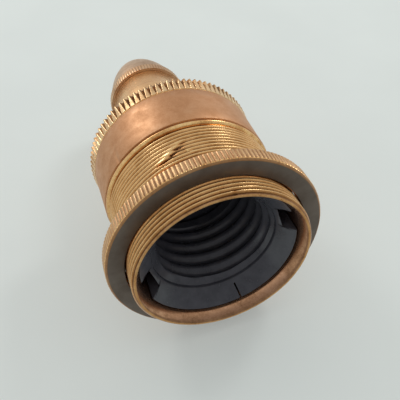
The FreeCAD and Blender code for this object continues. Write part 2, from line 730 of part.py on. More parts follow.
def make_shell_contact():
    """The springy strip: foot over the base, arm down the liner's slot and a bulge into the lamp thread."""
    body = new_body("shell_contact")
    profile = new_sketch(body, "YZ_Plane", "strip")
    bulge_back = "-(leaf_bulge_radius + leaf_thickness)"
    draw_outline(profile, [
        ("-leaf_foot_radius", "leaf_foot_z"),
        ("-leaf_foot_radius", "leaf_top_z"),
        ("-leaf_arm_radius", "leaf_top_z"),
        ("-leaf_arm_radius", "leaf_bend_z"),
        (bulge_back, "leaf_bulge_z + leaf_bulge_half_height"),
        (bulge_back, "leaf_bulge_z - leaf_bulge_half_height"),
        ("-leaf_end_radius", "leaf_end_z"),
        ("-(leaf_end_radius - leaf_thickness)", "leaf_end_z"),
        ("-leaf_bulge_radius", "leaf_bulge_z - leaf_bulge_half_height"),
        ("-leaf_bulge_radius", "leaf_bulge_z + leaf_bulge_half_height"),
        ("-(leaf_arm_radius - leaf_thickness)", "leaf_bend_z"),
        ("-(leaf_arm_radius - leaf_thickness)", "leaf_foot_z"),
    ])
    pad(body, profile, "leaf_width", both_ways=True)
    hole = new_sketch(body, "XY_Plane", "stud_hole", "leaf_foot_z")
    draw_circle(hole, "0", "-neutral_offset", "neutral_stud_radius + curved_gap")
    pocket(body, hole, "leaf_thickness")
    return body


def make_centre_plunger():
    """The plunger: coned tip, nose through the barrel's lip and flange inside the bore."""
    body = new_body("centre_plunger")
    flange_low = "(plunger_low_z + seat_gap)"
    turn(body, [
        ("0", "plunger_tip_z"),
        ("plunger_tip_radius", "plunger_tip_z"),
        ("plunger_nose_radius", "plunger_tip_z + plunger_tip_rise"),
        ("plunger_nose_radius", flange_low),
        ("barrel_bore_radius - running_gap", flange_low),
        ("barrel_bore_radius - running_gap", "plunger_top_z"),
        ("0", "plunger_top_z"),
    ])
    return body


def make_plunger_spring():
    """The coil spring between the plunger and the top of its bore."""
    body = new_body("plunger_spring")
    low = "(plunger_top_z + spring_end_gap)"
    high = "(barrel_bore_top_z - spring_end_gap - spring_wire_width)"
    sketch = new_sketch(body, "XZ_Plane", "wire")
    outside = "(barrel_bore_radius - running_gap)"
    draw_rectangle(sketch, (f"{outside} - spring_wire_width", outside), (low, f"{low} + spring_wire_width"))
    helix = body.newObject("PartDesign::AdditiveHelix", "plunger_spring_coil")
    helix.Profile = sketch
    helix.ReferenceAxis = (sketch, ["V_Axis"])
    helix.Mode = "height-turns-angle"
    helix.setExpression("Height", bound(f"{high} - {low}"))
    helix.setExpression("Turns", bound("spring_turns"))
    return body


def make_cap_lining():
    """The fibre lining: a thin sleeve pushed into the cap round the terminals."""
    body = new_body("cap_lining")
    turn(body, [
        ("lining_inside_radius", "lining_low_z"),
        ("lining_radius", "lining_low_z"),
        ("lining_radius", "lining_top_z"),
        ("lining_inside_radius", "lining_top_z"),
    ])
    return body


def make_screw(name, shank_radius, shank_length, head_radius, head_height):
    """A cheese head screw along +Z, head up, with the underside of its head at the origin."""
    shank = DOCUMENT.addObject("Part::Cylinder", f"{name}_shank")
    shank.setExpression("Radius", bound(shank_radius))
    shank.setExpression("Height", bound(shank_length))
    shank.setExpression("Placement.Base.z", bound(f"-({shank_length})"))
    head = DOCUMENT.addObject("Part::Cylinder", f"{name}_head")
    head.setExpression("Radius", bound(head_radius))
    head.setExpression("Height", bound(head_height))
    blank = DOCUMENT.addObject("Part::Fuse", f"{name}_blank")
    blank.Base = head
    blank.Tool = shank
    slot = DOCUMENT.addObject("Part::Box", f"{name}_slot")
    slot.setExpression("Length", bound(f"3 * {head_radius}"))
    slot.setExpression("Width", bound("screw_slot_width"))
    slot.setExpression("Height", bound("screw_slot_depth * 2"))
    slot.setExpression("Placement.Base.x", bound(f"-1.5 * {head_radius}"))
    slot.setExpression("Placement.Base.y", bound("-screw_slot_width / 2"))
    slot.setExpression("Placement.Base.z", bound(f"{head_height} - screw_slot_depth"))
    screw = DOCUMENT.addObject("Part::Cut", name)
    screw.Base = blank
    screw.Tool = slot
    return screw


def place(piece, direction, along_x="0", along_y="0", along_z="0"):
    """Points a screw's head along a direction and puts the underside of its head in place."""
    up = FreeCAD.Vector(0, 0, 1)
    piece.Placement = FreeCAD.Placement(FreeCAD.Vector(), FreeCAD.Rotation(up, FreeCAD.Vector(*direction)))
    for axis, formula in (("x", along_x), ("y", along_y), ("z", along_z)):
        piece.setExpression(f"Placement.Base.{axis}", bound(formula))


def make_clamp_screws():
    """The three clamp screws, each with its tip just short of the core that it would press on."""
    def clamp_screw(name, length):
        return make_screw(name, "clamp_screw_radius", length, "clamp_head_radius", "clamp_head_height")

    live = clamp_screw("live_terminal_screw", "barrel_radius - wire_hole_radius")
    place(live, (1, 0, 0), along_x="barrel_radius + seat_gap", along_z="wire_z")
    neutral = clamp_screw("neutral_terminal_screw", "neutral_depth / 2 - wire_hole_radius")
    place(neutral, (0, -1, 0), along_y="-(neutral_outer + seat_gap)", along_z="wire_z")
    earth = clamp_screw("earth_terminal_screw", "earth_wire_z - earth_wire_radius - earth_low_z")
    place(earth, (0, 0, -1), along_y="earth_offset", along_z="earth_low_z - seat_gap")
    return [live, neutral, earth]


def make_base_fixing_screws():
    """The pair of screws that hold the base to the liner, one node."""
    pair = []
    for side, sign in (("right", ""), ("left", "-")):
        length = "(base_thickness + base_screw_depth)"
        head = "2 * base_screw_radius - seat_gap"
        screw = make_screw(f"base_screw_{side}", "base_screw_radius", length, f"({head})", "screw_head_height")
        place(screw, (0, 0, 1), along_x=f"{sign}base_screw_offset", along_z="base_top_z")
        pair.append(screw)
    group = DOCUMENT.addObject("Part::Compound", "base_fixing_screws")
    group.Links = pair
    return group


def make_all():
    """Makes every piece, from the mouth to the cord."""
    return [
        make_threaded_skirt(),
        make_shade_ring(),
        make_thread_liner(),
        make_terminal_base(),
        make_base_fixing_screws(),
        make_live_terminal(),
        make_centre_plunger(),
        make_plunger_spring(),
        make_neutral_terminal(),
        make_shell_contact(),
        make_cap_shell(),
        make_cap_lining(),
        make_earth_terminal(),
        make_cord_grip_sleeve(),
        make_sleeve_locknut(),
        make_grip_jaw("grip_jaw_right", 0),
        make_grip_jaw("grip_jaw_left", 180),
        make_cord_grip_nut(),
        *make_clamp_screws(),
    ]


def check(pieces):
    """Stops if any object failed or any piece's shape is empty or not valid."""
    for item in DOCUMENT.Objects:
        if "Invalid" in item.State or "Error" in item.State:
            raise RuntimeError(f"{item.Name} failed: {item.State}")
    for piece in pieces:
        if piece.Shape.isNull() or not piece.Shape.isValid() or not piece.Shape.Solids:
            raise RuntimeError(f"{piece.Label} has no valid solid")


def write(pieces):
    """Writes each piece to a file named after its label."""
    os.makedirs("parts", exist_ok=True)
    for piece in pieces:
        piece.Shape.exportStep(f"parts/{piece.Label}.step")
        box = piece.Shape.BoundBox
        print(f"{piece.Label}: {len(piece.Shape.Solids)} solid, {piece.Shape.Volume:.1f} mm3,"
              f" z {box.ZMin:.2f} to {box.ZMax:.2f}, {len(piece.Shape.Faces)} faces")


ALL_PIECES = make_all()
DOCUMENT.recompute()
check(ALL_PIECES)
write(ALL_PIECES)
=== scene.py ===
"""Looks of a cord grip lamp holder: browned brass shells, a black moulded liner and the parts inside.

Pieces are built in millimetres round the holder's axis and brought to metres at the end. The holder stands on its
mouth at the origin, with +Z towards the cord and -Y towards the photographed side. Azimuths are in degrees, 0 at
-Y and 90 at +X. Small bare offsets in an outline are its edge breaks and fine grooves, in mm.
"""
import logging
import math
from collections.abc import Callable, Sequence
from dataclasses import dataclass
from enum import Enum, IntEnum

import bmesh
import bpy
from bmesh.types import BMEdge, BMesh, BMVert
from bpy.types import Material, Node, NodeSocket, NodeTree, Object
from mathutils import Matrix, Vector


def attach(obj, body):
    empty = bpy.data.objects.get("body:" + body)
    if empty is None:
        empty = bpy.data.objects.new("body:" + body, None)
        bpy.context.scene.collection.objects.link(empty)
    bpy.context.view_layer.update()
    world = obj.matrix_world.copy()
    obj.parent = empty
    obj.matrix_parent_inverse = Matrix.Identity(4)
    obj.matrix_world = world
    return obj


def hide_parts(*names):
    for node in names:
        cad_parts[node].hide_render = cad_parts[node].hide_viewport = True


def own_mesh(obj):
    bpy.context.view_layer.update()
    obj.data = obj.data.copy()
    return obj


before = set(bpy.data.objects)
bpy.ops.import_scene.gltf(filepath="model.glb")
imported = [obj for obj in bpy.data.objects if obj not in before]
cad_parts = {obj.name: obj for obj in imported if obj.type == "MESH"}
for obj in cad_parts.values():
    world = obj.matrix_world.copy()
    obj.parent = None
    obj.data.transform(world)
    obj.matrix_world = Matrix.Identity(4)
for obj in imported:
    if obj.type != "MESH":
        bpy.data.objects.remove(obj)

LOG = logging.getLogger("lamp_holder")
MM = 0.001
FULL_TURN = 2 * math.pi
MERGE_DISTANCE = 0.004      # mm
FINE_THREAD_PITCH = 1.058   # mm, 24 turns to the inch
PICTURE_SIDE = 400          # pixels
SENSOR_WIDTH = 36.0         # mm

Shaper = Callable[[float, float, float], float]


class Body(Enum):
    """The moving bodies that the looks ride on."""

    HOLDER = "holder"
    SHADE_RING = "shade_ring"
    CAP = "cap"
    GRIP_NUT = "grip_nut"


class SkirtFinish(IntEnum):
    """The order of the skirt's materials."""

    THREAD = 0
    PLAIN = 1
    RUBBED = 2


class RingFinish(IntEnum):
    """The order of the shade ring's materials."""

    EDGE = 0
    BROWNED = 1
    PLAIN = 2
    RUBBED = 3


class CapFinish(IntEnum):
    """The order of the cap's materials."""

    WALL = 0
    WORN_AND_HIGHLIT = 1
    PLAIN = 2
    DIRTY_AND_SHADED = 3


class NutFinish(IntEnum):
    """The order of the nut's materials."""

    DOME = 0
    FLUTED = 1


class MixSocket(Enum):
    """Places of the colour sockets on a Mix node."""

    FACTOR = 0
    FIRST = 6
    SECOND = 7
    RESULT = 2


# ---- meshes


@dataclass(frozen=True)
class Level:
    """One level of a turned form: a distance from the axis and a height, in mm."""

    radius: float
    height: float

    def place(self, verts: Sequence[BMVert], shape: Shaper | None) -> None:
        """Moves a ring of vertices to this level, each on its own side of the axis.

        Args:
            verts: The ring's vertices.
            shape: Gives the radius from this radius, the height and the angle, or None for a plain circle.
        """
        for vert in verts:
            angle = math.atan2(vert.co.y, vert.co.x)
            radius = shape(self.radius, self.height, angle) if shape else self.radius
            vert.co = (radius * math.cos(angle), radius * math.sin(angle), self.height)


@dataclass(frozen=True)
class Corner:
    """A corner of a turned outline, in mm, eased over a length along both of its edges."""

    radius: float
    height: float
    ease: float = 0.0


def eased(corners: Sequence[Corner]) -> list[Level]:
    """Turns a closed outline into levels, with each eased corner as a short curve.

    Args:
        corners: The outline, the last corner joined to the first.

    Returns:
        The levels in the outline's order.
    """
    levels = []
    for index, corner in enumerate(corners):
        here = Vector((corner.radius, corner.height))
        if not corner.ease:
            levels.append(Level(here.x, here.y))
            continue
        before, after = corners[index - 1], corners[(index + 1) % len(corners)]
        start = here + (Vector((before.radius, before.height)) - here).normalized() * corner.ease
        end = here + (Vector((after.radius, after.height)) - here).normalized() * corner.ease
        for share in (0.0, 0.3, 0.7, 1.0):
            point = start.lerp(here, share).lerp(here.lerp(end, share), share)
            levels.append(Level(point.x, point.y))
    return levels


def arc_levels(first: Level, last: Level, bulge: float, steps: int) -> list[Level]:
    """Lays levels along a bow from one level to another, without its two ends.

    Args:
        first: Where the bow starts.
        last: Where it ends.
        bulge: How far its middle stands out from the chord, in mm.
        steps: How many parts it is divided into.

    Returns:
        The levels between the ends.
    """
    chord = Vector((last.radius - first.radius, last.height - first.height))
    outward = Vector((chord.y, -chord.x)).normalized()
    levels = []
    for step in range(1, steps):
        share = step / steps
        point = Vector((first.radius, first.height)) + chord * share + outward * bulge * 4 * share * (1 - share)
        levels.append(Level(point.x, point.y))
    return levels


def grow_rim(form: BMesh, rim: Sequence[BMEdge], level: Level, shape: Shaper | None = None) -> list[BMEdge]:
    """Extrudes a ring of edges to a new level.

    Args:
        form: The mesh under work.
        rim: The ring to extrude.
        level: Where the new ring goes.
        shape: The radius rule for the new ring.

    Returns:
        The new ring's edges.
    """
    grown = bmesh.ops.extrude_edge_only(form, edges=rim)["geom"]
    verts = [part for part in grown if isinstance(part, BMVert)]
    level.place(verts, shape)
    fresh = set(verts)
    return [part for part in grown if isinstance(part, BMEdge) and fresh.issuperset(part.verts)]


def turned(levels: Sequence[Level], segments: int, shape: Shaper | None = None) -> BMesh:
    """Builds a closed ring-shaped solid from its outline.

    Args:
        levels: The outline, the last level joined to the first.
        segments: How many sides go round the axis.
        shape: The radius rule, for knurls and threads.

    Returns:
        The solid's mesh.
    """
    form = bmesh.new()
    bmesh.ops.create_circle(form, cap_ends=False, segments=segments, radius=1.0)
    first = list(form.edges)
    levels[0].place(form.verts, shape)
    rim = first
    for level in levels[1:]:
        rim = grow_rim(form, rim, level, shape)
    bmesh.ops.bridge_loops(form, edges=first + rim)
    bmesh.ops.recalc_face_normals(form, faces=form.faces)
    return form


def threaded_wall(profile: Callable[[float], float], pitch: float, low: float, high: float,
                  parts: int, steps: int) -> BMesh:
    """Spins a wavy wall once round the axis while it climbs by one pitch, and trims it level.

    Args:
        profile: The wall's radius at a height where the spin starts, the same again a pitch higher.
        pitch: The climb of one turn.
        low: The trimmed bottom.
        high: The trimmed top.
        parts: How many points the profile has in a pitch.
        steps: How many sides go round the axis.

    Returns:
        The wall's mesh, open at both trims.
    """
    form = bmesh.new()
    # The wall starts over a turn below its trimmed bottom and ends over a turn above its top.
    count = math.ceil((high - low) / pitch + 2.2) * parts
    start = math.floor(low / pitch - 1.1) * pitch
    heights = [start + pitch * index / parts for index in range(count + 1)]
    verts = [form.verts.new((profile(height), 0, height)) for height in heights]
    edges = [form.edges.new(pair) for pair in zip(verts, verts[1:])]
    climb = (0, 0, pitch / steps)
    bmesh.ops.spin(form, geom=verts + edges, cent=(0, 0, 0), axis=(0, 0, 1), dvec=climb, angle=FULL_TURN, steps=steps,
                   use_merge=False, use_duplicate=False)
    bmesh.ops.remove_doubles(form, verts=form.verts, dist=MERGE_DISTANCE)
    for height, above in ((low, False), (high, True)):
        everything = list(form.verts) + list(form.edges) + list(form.faces)
        bmesh.ops.bisect_plane(form, geom=everything, dist=1e-5, plane_co=(0, 0, height), plane_no=(0, 0, 1),
                               clear_outer=above, clear_inner=not above)
    return form


def rim_at(form: BMesh, height: float) -> list[BMEdge]:
    """Returns the open edges that lie at a height."""
    return [edge for edge in form.edges
            if edge.is_boundary and all(abs(vert.co.z - height) < 1e-3 for vert in edge.verts)]


def wave_at(turn: float) -> float:
    """Returns a thread's round wave, between 0 and 1, at a number of turns."""
    return 0.5 + 0.5 * math.cos(FULL_TURN * turn)


def gap_at(angle: float, teeth: int) -> float:
    """Returns how near an angle is to a gap between teeth, from 0 at a tooth's middle to 1 at a gap's."""
    return abs(2 * ((angle / FULL_TURN * teeth) % 1) - 1)


def set_radius(vert: BMVert, radius: float) -> None:
    """Moves a vertex straight in or out to a distance from the axis."""
    share = radius / math.hypot(vert.co.x, vert.co.y)
    vert.co.x *= share
    vert.co.y *= share


def limit_radius(form: BMesh, rule: Callable[[float, float], float]) -> None:
    """Moves each vertex in or out to the radius that a rule gives for its radius and height."""
    for vert in form.verts:
        set_radius(vert, rule(math.hypot(vert.co.x, vert.co.y), vert.co.z))


def number_faces(form: BMesh, rule: Callable[[Vector, float], int]) -> None:
    """Gives each face its material number.

    Args:
        form: The mesh under work.
        rule: Gives the number from a face's middle and that middle's distance from the axis.
    """
    for face in form.faces:
        middle = face.calc_center_median()
        face.material_index = rule(middle, math.hypot(middle.x, middle.y))


def carved(form: BMesh, cutters: Sequence[BMesh]) -> BMesh:
    """Cuts closed forms out of another.

    Args:
        form: The form to cut, used up.
        cutters: The forms that are cut out, used up.

    Returns:
        What is left.
    """
    blank = mesh_object("blank", form)
    tools = [mesh_object("cutter", cutter) for cutter in cutters]
    for tool in tools:
        cut = blank.modifiers.new("cut", "BOOLEAN")
        cut.operation = "DIFFERENCE"
        cut.solver = "EXACT"
        cut.object = tool
    rest = bmesh.new()
    rest.from_object(blank, bpy.context.evaluated_depsgraph_get())
    for spent in (blank, *tools):
        mesh = spent.data
        bpy.data.objects.remove(spent)
        bpy.data.meshes.remove(mesh)
    return rest


def block(low: Vector, high: Vector, azimuth: float = 90.0) -> BMesh:
    """Makes a box between two corners, turned about the axis.

    Args:
        low: Its lowest corner before it is turned.
        high: Its highest corner.
        azimuth: Where its +X side ends up facing.

    Returns:
        The box's mesh.
    """
    form = bmesh.new()
    bmesh.ops.create_cube(form, size=1.0)
    bmesh.ops.scale(form, verts=form.verts, vec=high - low)
    bmesh.ops.translate(form, verts=form.verts, vec=(low + high) / 2)
    turn = Matrix.Rotation(math.radians(azimuth - 90.0), 3, "Z")
    bmesh.ops.rotate(form, verts=form.verts, cent=(0, 0, 0), matrix=turn)
    return form


def ease_sharp_edges(form: BMesh, sharper_than: float, offset: float) -> None:
    """Rounds the sharp edges of a closed form.

    Args:
        form: The mesh under work.
        sharper_than: The angle between two faces, in degrees, from which their edge is rounded.
        offset: How far the rounding reaches, in mm.
    """
    limit = math.radians(sharper_than)
    sharp = [edge for edge in form.edges if edge.is_manifold and edge.calc_face_angle() > limit]
    bmesh.ops.bevel(form, geom=sharp, offset=offset, offset_type="OFFSET", segments=2, profile=0.5, affect="EDGES",
                    material=-1, clamp_overlap=True)


def mesh_object(name: str, form: BMesh) -> Object:
    """Makes an object of a form as it is and puts it in the scene.

    Args:
        name: The object's name.
        form: Its mesh, used up.

    Returns:
        The object.
    """
    mesh = bpy.data.meshes.new(name)
    form.to_mesh(mesh)
    form.free()
    piece = bpy.data.objects.new(name, mesh)
    bpy.context.scene.collection.objects.link(piece)
    return piece


@dataclass(frozen=True)
class Dent:
    """A short knock in a round wall: its middle, reach along and across, lean from level and depth, in mm."""

    azimuth: float
    height: float
    along: float
    across: float
    lean: float
    depth: float

    def strength(self, place: Vector) -> float:
        """Finds how much of the knock reaches a place.

        Args:
            place: The place, in mm.

        Returns:
            A share from 0 to 1.
        """
        radius = math.hypot(place.x, place.y)
        angle = math.atan2(place.x, -place.y) - math.radians(self.azimuth)
        lean = math.radians(self.lean)
        aside = radius * math.atan2(math.sin(angle), math.cos(angle))
        up = place.z - self.height
        along = (aside * math.cos(lean) + up * math.sin(lean)) / self.along
        across = (up * math.cos(lean) - aside * math.sin(lean)) / self.across
        return math.exp(-along ** 2 - across ** 2)

    def press(self, form: BMesh) -> None:
        """Pushes a form inwards under the knock, or outwards where its depth is below zero."""
        for vert in form.verts:
            set_radius(vert, math.hypot(vert.co.x, vert.co.y) - self.depth * self.strength(vert.co))


# ---- materials


def linear_colour(code: str) -> tuple[float, float, float, float]:
    """Turns an sRGB hex code to linear light.

    Args:
        code: Six hex digits.

    Returns:
        Red, green, blue and an alpha of 1.
    """
    shares = [int(code[place:place + 2], 16) / 255 for place in (0, 2, 4)]
    red, green, blue = [s / 12.92 if s <= 0.04045 else ((s + 0.055) / 1.055) ** 2.4 for s in shares]
    return red, green, blue, 1.0


def add_node(tree: NodeTree, kind: str, values: dict | None = None, links: dict | None = None, **settings) -> Node:
    """Adds a node.

    Args:
        tree: The tree that it goes in.
        kind: Its type name.
        values: Numbers or colours for its input sockets, by name or place.
        links: Output sockets that feed its input sockets, by name or place.
        settings: Its own properties.

    Returns:
        The node.
    """
    node = tree.nodes.new(kind)
    for name, setting in settings.items():
        setattr(node, name, setting)
    for socket, number in (values or {}).items():
        node.inputs[socket].default_value = number
    for socket, source in (links or {}).items():
        tree.links.new(source, node.inputs[socket])
    return node


def fill_ramp(node: Node, stops: Sequence[tuple[float, tuple]]) -> NodeSocket:
    """Gives a colour ramp its stops.

    Args:
        node: The ramp.
        stops: A place from 0 to 1 and a linear colour for each stop.

    Returns:
        The ramp's colour socket.
    """
    elements = node.color_ramp.elements
    while len(elements) < len(stops):
        elements.new(1.0)
    for element, (place, colour) in zip(elements, stops):
        element.position = place
        element.color = colour
    return node.outputs["Color"]


def new_material(name: str) -> tuple[Material, NodeTree, Node]:
    """Makes a node material with a surface shader.

    Args:
        name: The material's name.

    Returns:
        The material, its tree and its shader.
    """
    material = bpy.data.materials.new(name)
    material.use_nodes = True
    tree = material.node_tree
    tree.nodes.clear()
    shader = add_node(tree, "ShaderNodeBsdfPrincipled")
    add_node(tree, "ShaderNodeOutputMaterial", links={"Surface": shader.outputs["BSDF"]})
    return material, tree, shader


def per_metre(size: float) -> float:
    """Turns the size of a pattern's feature in mm to a texture scale."""
    return 1 / (size * MM)


def mixed(tree: NodeTree, factor: NodeSocket, first: NodeSocket, second: str) -> NodeSocket:
    """Blends a colour towards a fixed one.

    Args:
        tree: The material's tree.
        factor: How much of the fixed colour shows.
        first: The colour that it starts from.
        second: The fixed colour, as a hex code.

    Returns:
        The blend's socket.
    """
    node = add_node(tree, "ShaderNodeMix", {MixSocket.SECOND.value: linear_colour(second)},
                    {MixSocket.FACTOR.value: factor, MixSocket.FIRST.value: first}, data_type="RGBA")
    return node.outputs[MixSocket.RESULT.value]


def connect(tree: NodeTree, shader: Node, colour: NodeSocket, roughness: NodeSocket, normal: NodeSocket,
            metallic: float) -> None:
    """Feeds a surface shader.

    Args:
        tree: The material's tree.
        shader: The surface shader.
        colour: The colour's socket.
        roughness: The roughness's socket.
        normal: The bump's socket.
        metallic: How metallic the surface is.
    """
    tree.links.new(colour, shader.inputs["Base Color"])
    tree.links.new(roughness, shader.inputs["Roughness"])
    tree.links.new(normal, shader.inputs["Normal"])
    shader.inputs["Metallic"].default_value = metallic


@dataclass(frozen=True)
class Relief:
    """Where grooves are darkened, with dirt and painted shade, and crests brightened, with wear and a painted
    highlight, as distances from the axis in mm.
    """

    groove: float
    flank_low: float
    flank_high: float
    crest: float
    dirt_and_shade: str = "6B4327"
    dirt_and_shade_share: float = 0.85
    wear_and_highlight: str = "F2CD95"
    wear_and_highlight_share: float = 0.80


@dataclass(frozen=True)
class AgedBrass:
    """Spun or turned brass, browned in the air. It shows faint rings from the lathe, soft brown clouds where it was
    handled, small specks, and on threads and knurls dark grooves under bright crests: the grooves' dark is dirt and
    painted shade, the crests' brightness wear and a painted highlight."""

    name: str
    light: str
    body: str
    brown: str
    smooth: float
    dull: float
    cloud_size: float = 5.0         # mm
    speck_size: float = 0.5         # mm
    turning_pitch: float = 0.4      # mm, coarser than the real tool marks, which would not show
    turning_depth: float = 0.004    # mm
    cloud_share: float = 0.66
    ring_share: float = 0.06
    speck_share: float = 0.28
    tones: tuple[float, float, float] = (0.38, 0.50, 0.66)      # where brown, body and light stand
    smooth_tone: float = 0.62
    relief: Relief | None = None

    def tinted(self, tree: NodeTree, colour: NodeSocket, radius: NodeSocket) -> NodeSocket:
        """Darkens the grooves, with dirt and painted shade, and brightens the crests, with wear and a painted
        highlight.

        Args:
            tree: The material's tree.
            colour: The colour of the flanks.
            radius: The distance from the axis in metres.

        Returns:
            The tinted colour's socket.
        """
        low = add_node(tree, "ShaderNodeMapRange", {"From Min": self.relief.groove * MM,
                       "From Max": self.relief.flank_low * MM, "To Min": self.relief.dirt_and_shade_share, "To Max": 0.0},
                       {"Value": radius})
        high = add_node(tree, "ShaderNodeMapRange", {"From Min": self.relief.flank_high * MM,
                        "From Max": self.relief.crest * MM, "To Max": self.relief.wear_and_highlight_share}, {"Value": radius})
        dirty_and_shaded = mixed(tree, low.outputs[0], colour, self.relief.dirt_and_shade)
        return mixed(tree, high.outputs[0], dirty_and_shaded, self.relief.wear_and_highlight)

    def material(self) -> Material:
        """Builds the finish.

        Returns:
            The material.
        """
        material, tree, shader = new_material(self.name)
        place = add_node(tree, "ShaderNodeTexCoord").outputs["Object"]
        flat = add_node(tree, "ShaderNodeVectorMath", {1: (1, 1, 0)}, {0: place}, operation="MULTIPLY")
        radius = add_node(tree, "ShaderNodeVectorMath", links={0: flat.outputs["Vector"]},
                          operation="LENGTH").outputs["Value"]
        side = add_node(tree, "ShaderNodeVectorMath", links={0: flat.outputs["Vector"]}, operation="NORMALIZE")
        height = add_node(tree, "ShaderNodeSeparateXYZ", links={0: place}).outputs["Z"]
        travel = add_node(tree, "ShaderNodeMath", links={0: radius, 1: height})
        tool = add_node(tree, "ShaderNodeMath", {1: per_metre(self.turning_pitch)}, {0: travel.outputs[0]},
                        operation="MULTIPLY")
        rise = add_node(tree, "ShaderNodeCombineXYZ", links={"Z": tool.outputs[0]})
        track = add_node(tree, "ShaderNodeVectorMath", {1: (1, 1, 0)},
                         {0: side.outputs["Vector"], 2: rise.outputs[0]}, operation="MULTIPLY_ADD")
        rings = add_node(tree, "ShaderNodeTexNoise", {"Scale": 1.0, "Detail": 2.0, "Roughness": 0.7},
                         {"Vector": track.outputs["Vector"]}).outputs[0]
        clouds = add_node(tree, "ShaderNodeTexNoise", {"Scale": per_metre(self.cloud_size), "Detail": 5.0,
                          "Roughness": 0.66, "Distortion": 0.3}, {"Vector": place}).outputs[0]
        specks = add_node(tree, "ShaderNodeTexNoise", {"Scale": per_metre(self.speck_size), "Detail": 3.0,
                          "Roughness": 0.6}, {"Vector": place}).outputs[0]
        clouded = add_node(tree, "ShaderNodeMath", {1: self.cloud_share}, {0: clouds},
                           operation="MULTIPLY").outputs[0]
        ringed = add_node(tree, "ShaderNodeMath", {1: self.ring_share}, {0: rings, 2: clouded},
                          operation="MULTIPLY_ADD").outputs[0]
        tone = add_node(tree, "ShaderNodeMath", {1: self.speck_share}, {0: specks, 2: ringed},
                        operation="MULTIPLY_ADD").outputs[0]
        ramp = add_node(tree, "ShaderNodeValToRGB", links={"Fac": tone})
        shades = [linear_colour(code) for code in (self.brown, self.body, self.light)]
        colour = fill_ramp(ramp, list(zip(self.tones, shades)))
        if self.relief:
            colour = self.tinted(tree, colour, radius)
        gloss = add_node(tree, "ShaderNodeMapRange", {"From Min": self.tones[0], "From Max": self.smooth_tone,
                         "To Min": self.dull, "To Max": self.smooth}, {"Value": tone})
        marks = add_node(tree, "ShaderNodeBump", {"Strength": 1.0, "Distance": self.turning_depth * MM},
                         {"Height": rings})
        connect(tree, shader, colour, gloss.outputs[0], marks.outputs[0], 1.0)
        return material


@dataclass(frozen=True)
class Mottled:
    """A plain stuff whose tone and gloss drift a little over its surface, with a faint grain."""

    name: str
    light: str
    dark: str
    metallic: float
    smooth: float
    dull: float
    drift_size: float       # mm
    grain_size: float       # mm
    grain_depth: float      # mm

    def material(self) -> Material:
        """Builds the finish.

        Returns:
            The material.
        """
        material, tree, shader = new_material(self.name)
        place = add_node(tree, "ShaderNodeTexCoord").outputs["Object"]
        drift = add_node(tree, "ShaderNodeTexNoise", {"Scale": per_metre(self.drift_size), "Detail": 4.0,
                         "Roughness": 0.6}, {"Vector": place})
        grain = add_node(tree, "ShaderNodeTexNoise", {"Scale": per_metre(self.grain_size), "Detail": 2.0},
                         {"Vector": place})
        ramp = add_node(tree, "ShaderNodeValToRGB", links={"Fac": drift.outputs[0]})
        colour = fill_ramp(ramp, ((0.38, linear_colour(self.dark)), (0.62, linear_colour(self.light))))
        gloss = add_node(tree, "ShaderNodeMapRange", {"From Min": 0.35, "From Max": 0.65, "To Min": self.dull,
                         "To Max": self.smooth}, {"Value": drift.outputs[0]})
        bump = add_node(tree, "ShaderNodeBump", {"Strength": 1.0, "Distance": self.grain_depth * MM},
                        {"Height": grain.outputs[0]})
        connect(tree, shader, colour, gloss.outputs[0], bump.outputs[0], self.metallic)
        return material


# Black phenolic, moulded in polished steel tools: charcoal, glossy, a cold sheen on its edges.
BLACK_PHENOLIC = Mottled("black_phenolic_moulded", "54555C", "484950", 0.0, 0.18, 0.28, 3.0, 0.5, 0.002)
# Turned brass that the cover kept clean: yellower and brighter than the outside.
CLEAN_BRASS = Mottled("brass_turned_clean", "E8C77E", "C59A55", 1.0, 0.24, 0.38, 1.5, 0.3, 0.006)
# Vulcanised fibre sheet, rolled: red brown, dull, with a papery mottle.
VULCANISED_FIBRE = Mottled("vulcanised_fibre_rolled", "8A5238", "6D3F2B", 0.0, 0.55, 0.75, 2.0, 0.25, 0.02)
# Glass filled nylon, moulded: dark grey and matt, with a sandy grain.
NYLON_GRIP = Mottled("nylon_grip_moulded", "3A3836", "2A2827", 0.0, 0.50, 0.66, 2.0, 0.2, 0.02)
# Zinc plated steel screws and spring wire: cool grey with a silky shine.
ZINC_STEEL = Mottled("steel_zinc_plated", "C9C8C4", "A3A29F", 1.0, 0.26, 0.42, 0.8, 0.2, 0.005)
# The browned front of the ring, never polished: grey brown, half dull.
TARNISHED_FACE = Mottled("brass_face_tarnished", "746A62", "685E56", 0.9, 0.42, 0.50, 5.0, 0.6, 0.003)
# The spun wall of the cap: copper brown, the dullest of the brass, with fine pinkish clouds and pale specks.
CAP_WALL = AgedBrass("brass_spun_browned", "D0A27C", "C8966E", "BE8C64", 0.46, 0.58, cloud_size=3.0, speck_size=0.3)
# Turned brass at the mouth and inside, and the backs that a hand does not reach: plain, pinkish brown, smooth.
TURNED = AgedBrass("brass_turned_browned", "D6A886", "BC8E6C", "9A7254", 0.20, 0.30)
# The rolled bead, the mouth's rim and other edges that take every rub: smooth and golden.
BEAD = AgedBrass("brass_bead_rubbed", "F6D098", "E6B67C", "C8945E", 0.22, 0.30)
# The neck: bright gold, lighter than the other brass as a painted highlight.
NECK = AgedBrass("brass_neck_golden_highlit", "FCCE96", "F4C28A", "E6B07A", 0.22, 0.28)
# The dome, greyer and duller than the neck, from the hands that tightened it.
DOME = AgedBrass("brass_dome_greyed", "CEAE90", "C4A384", "B69679", 0.36, 0.46, cloud_size=2.5, speck_size=0.35)
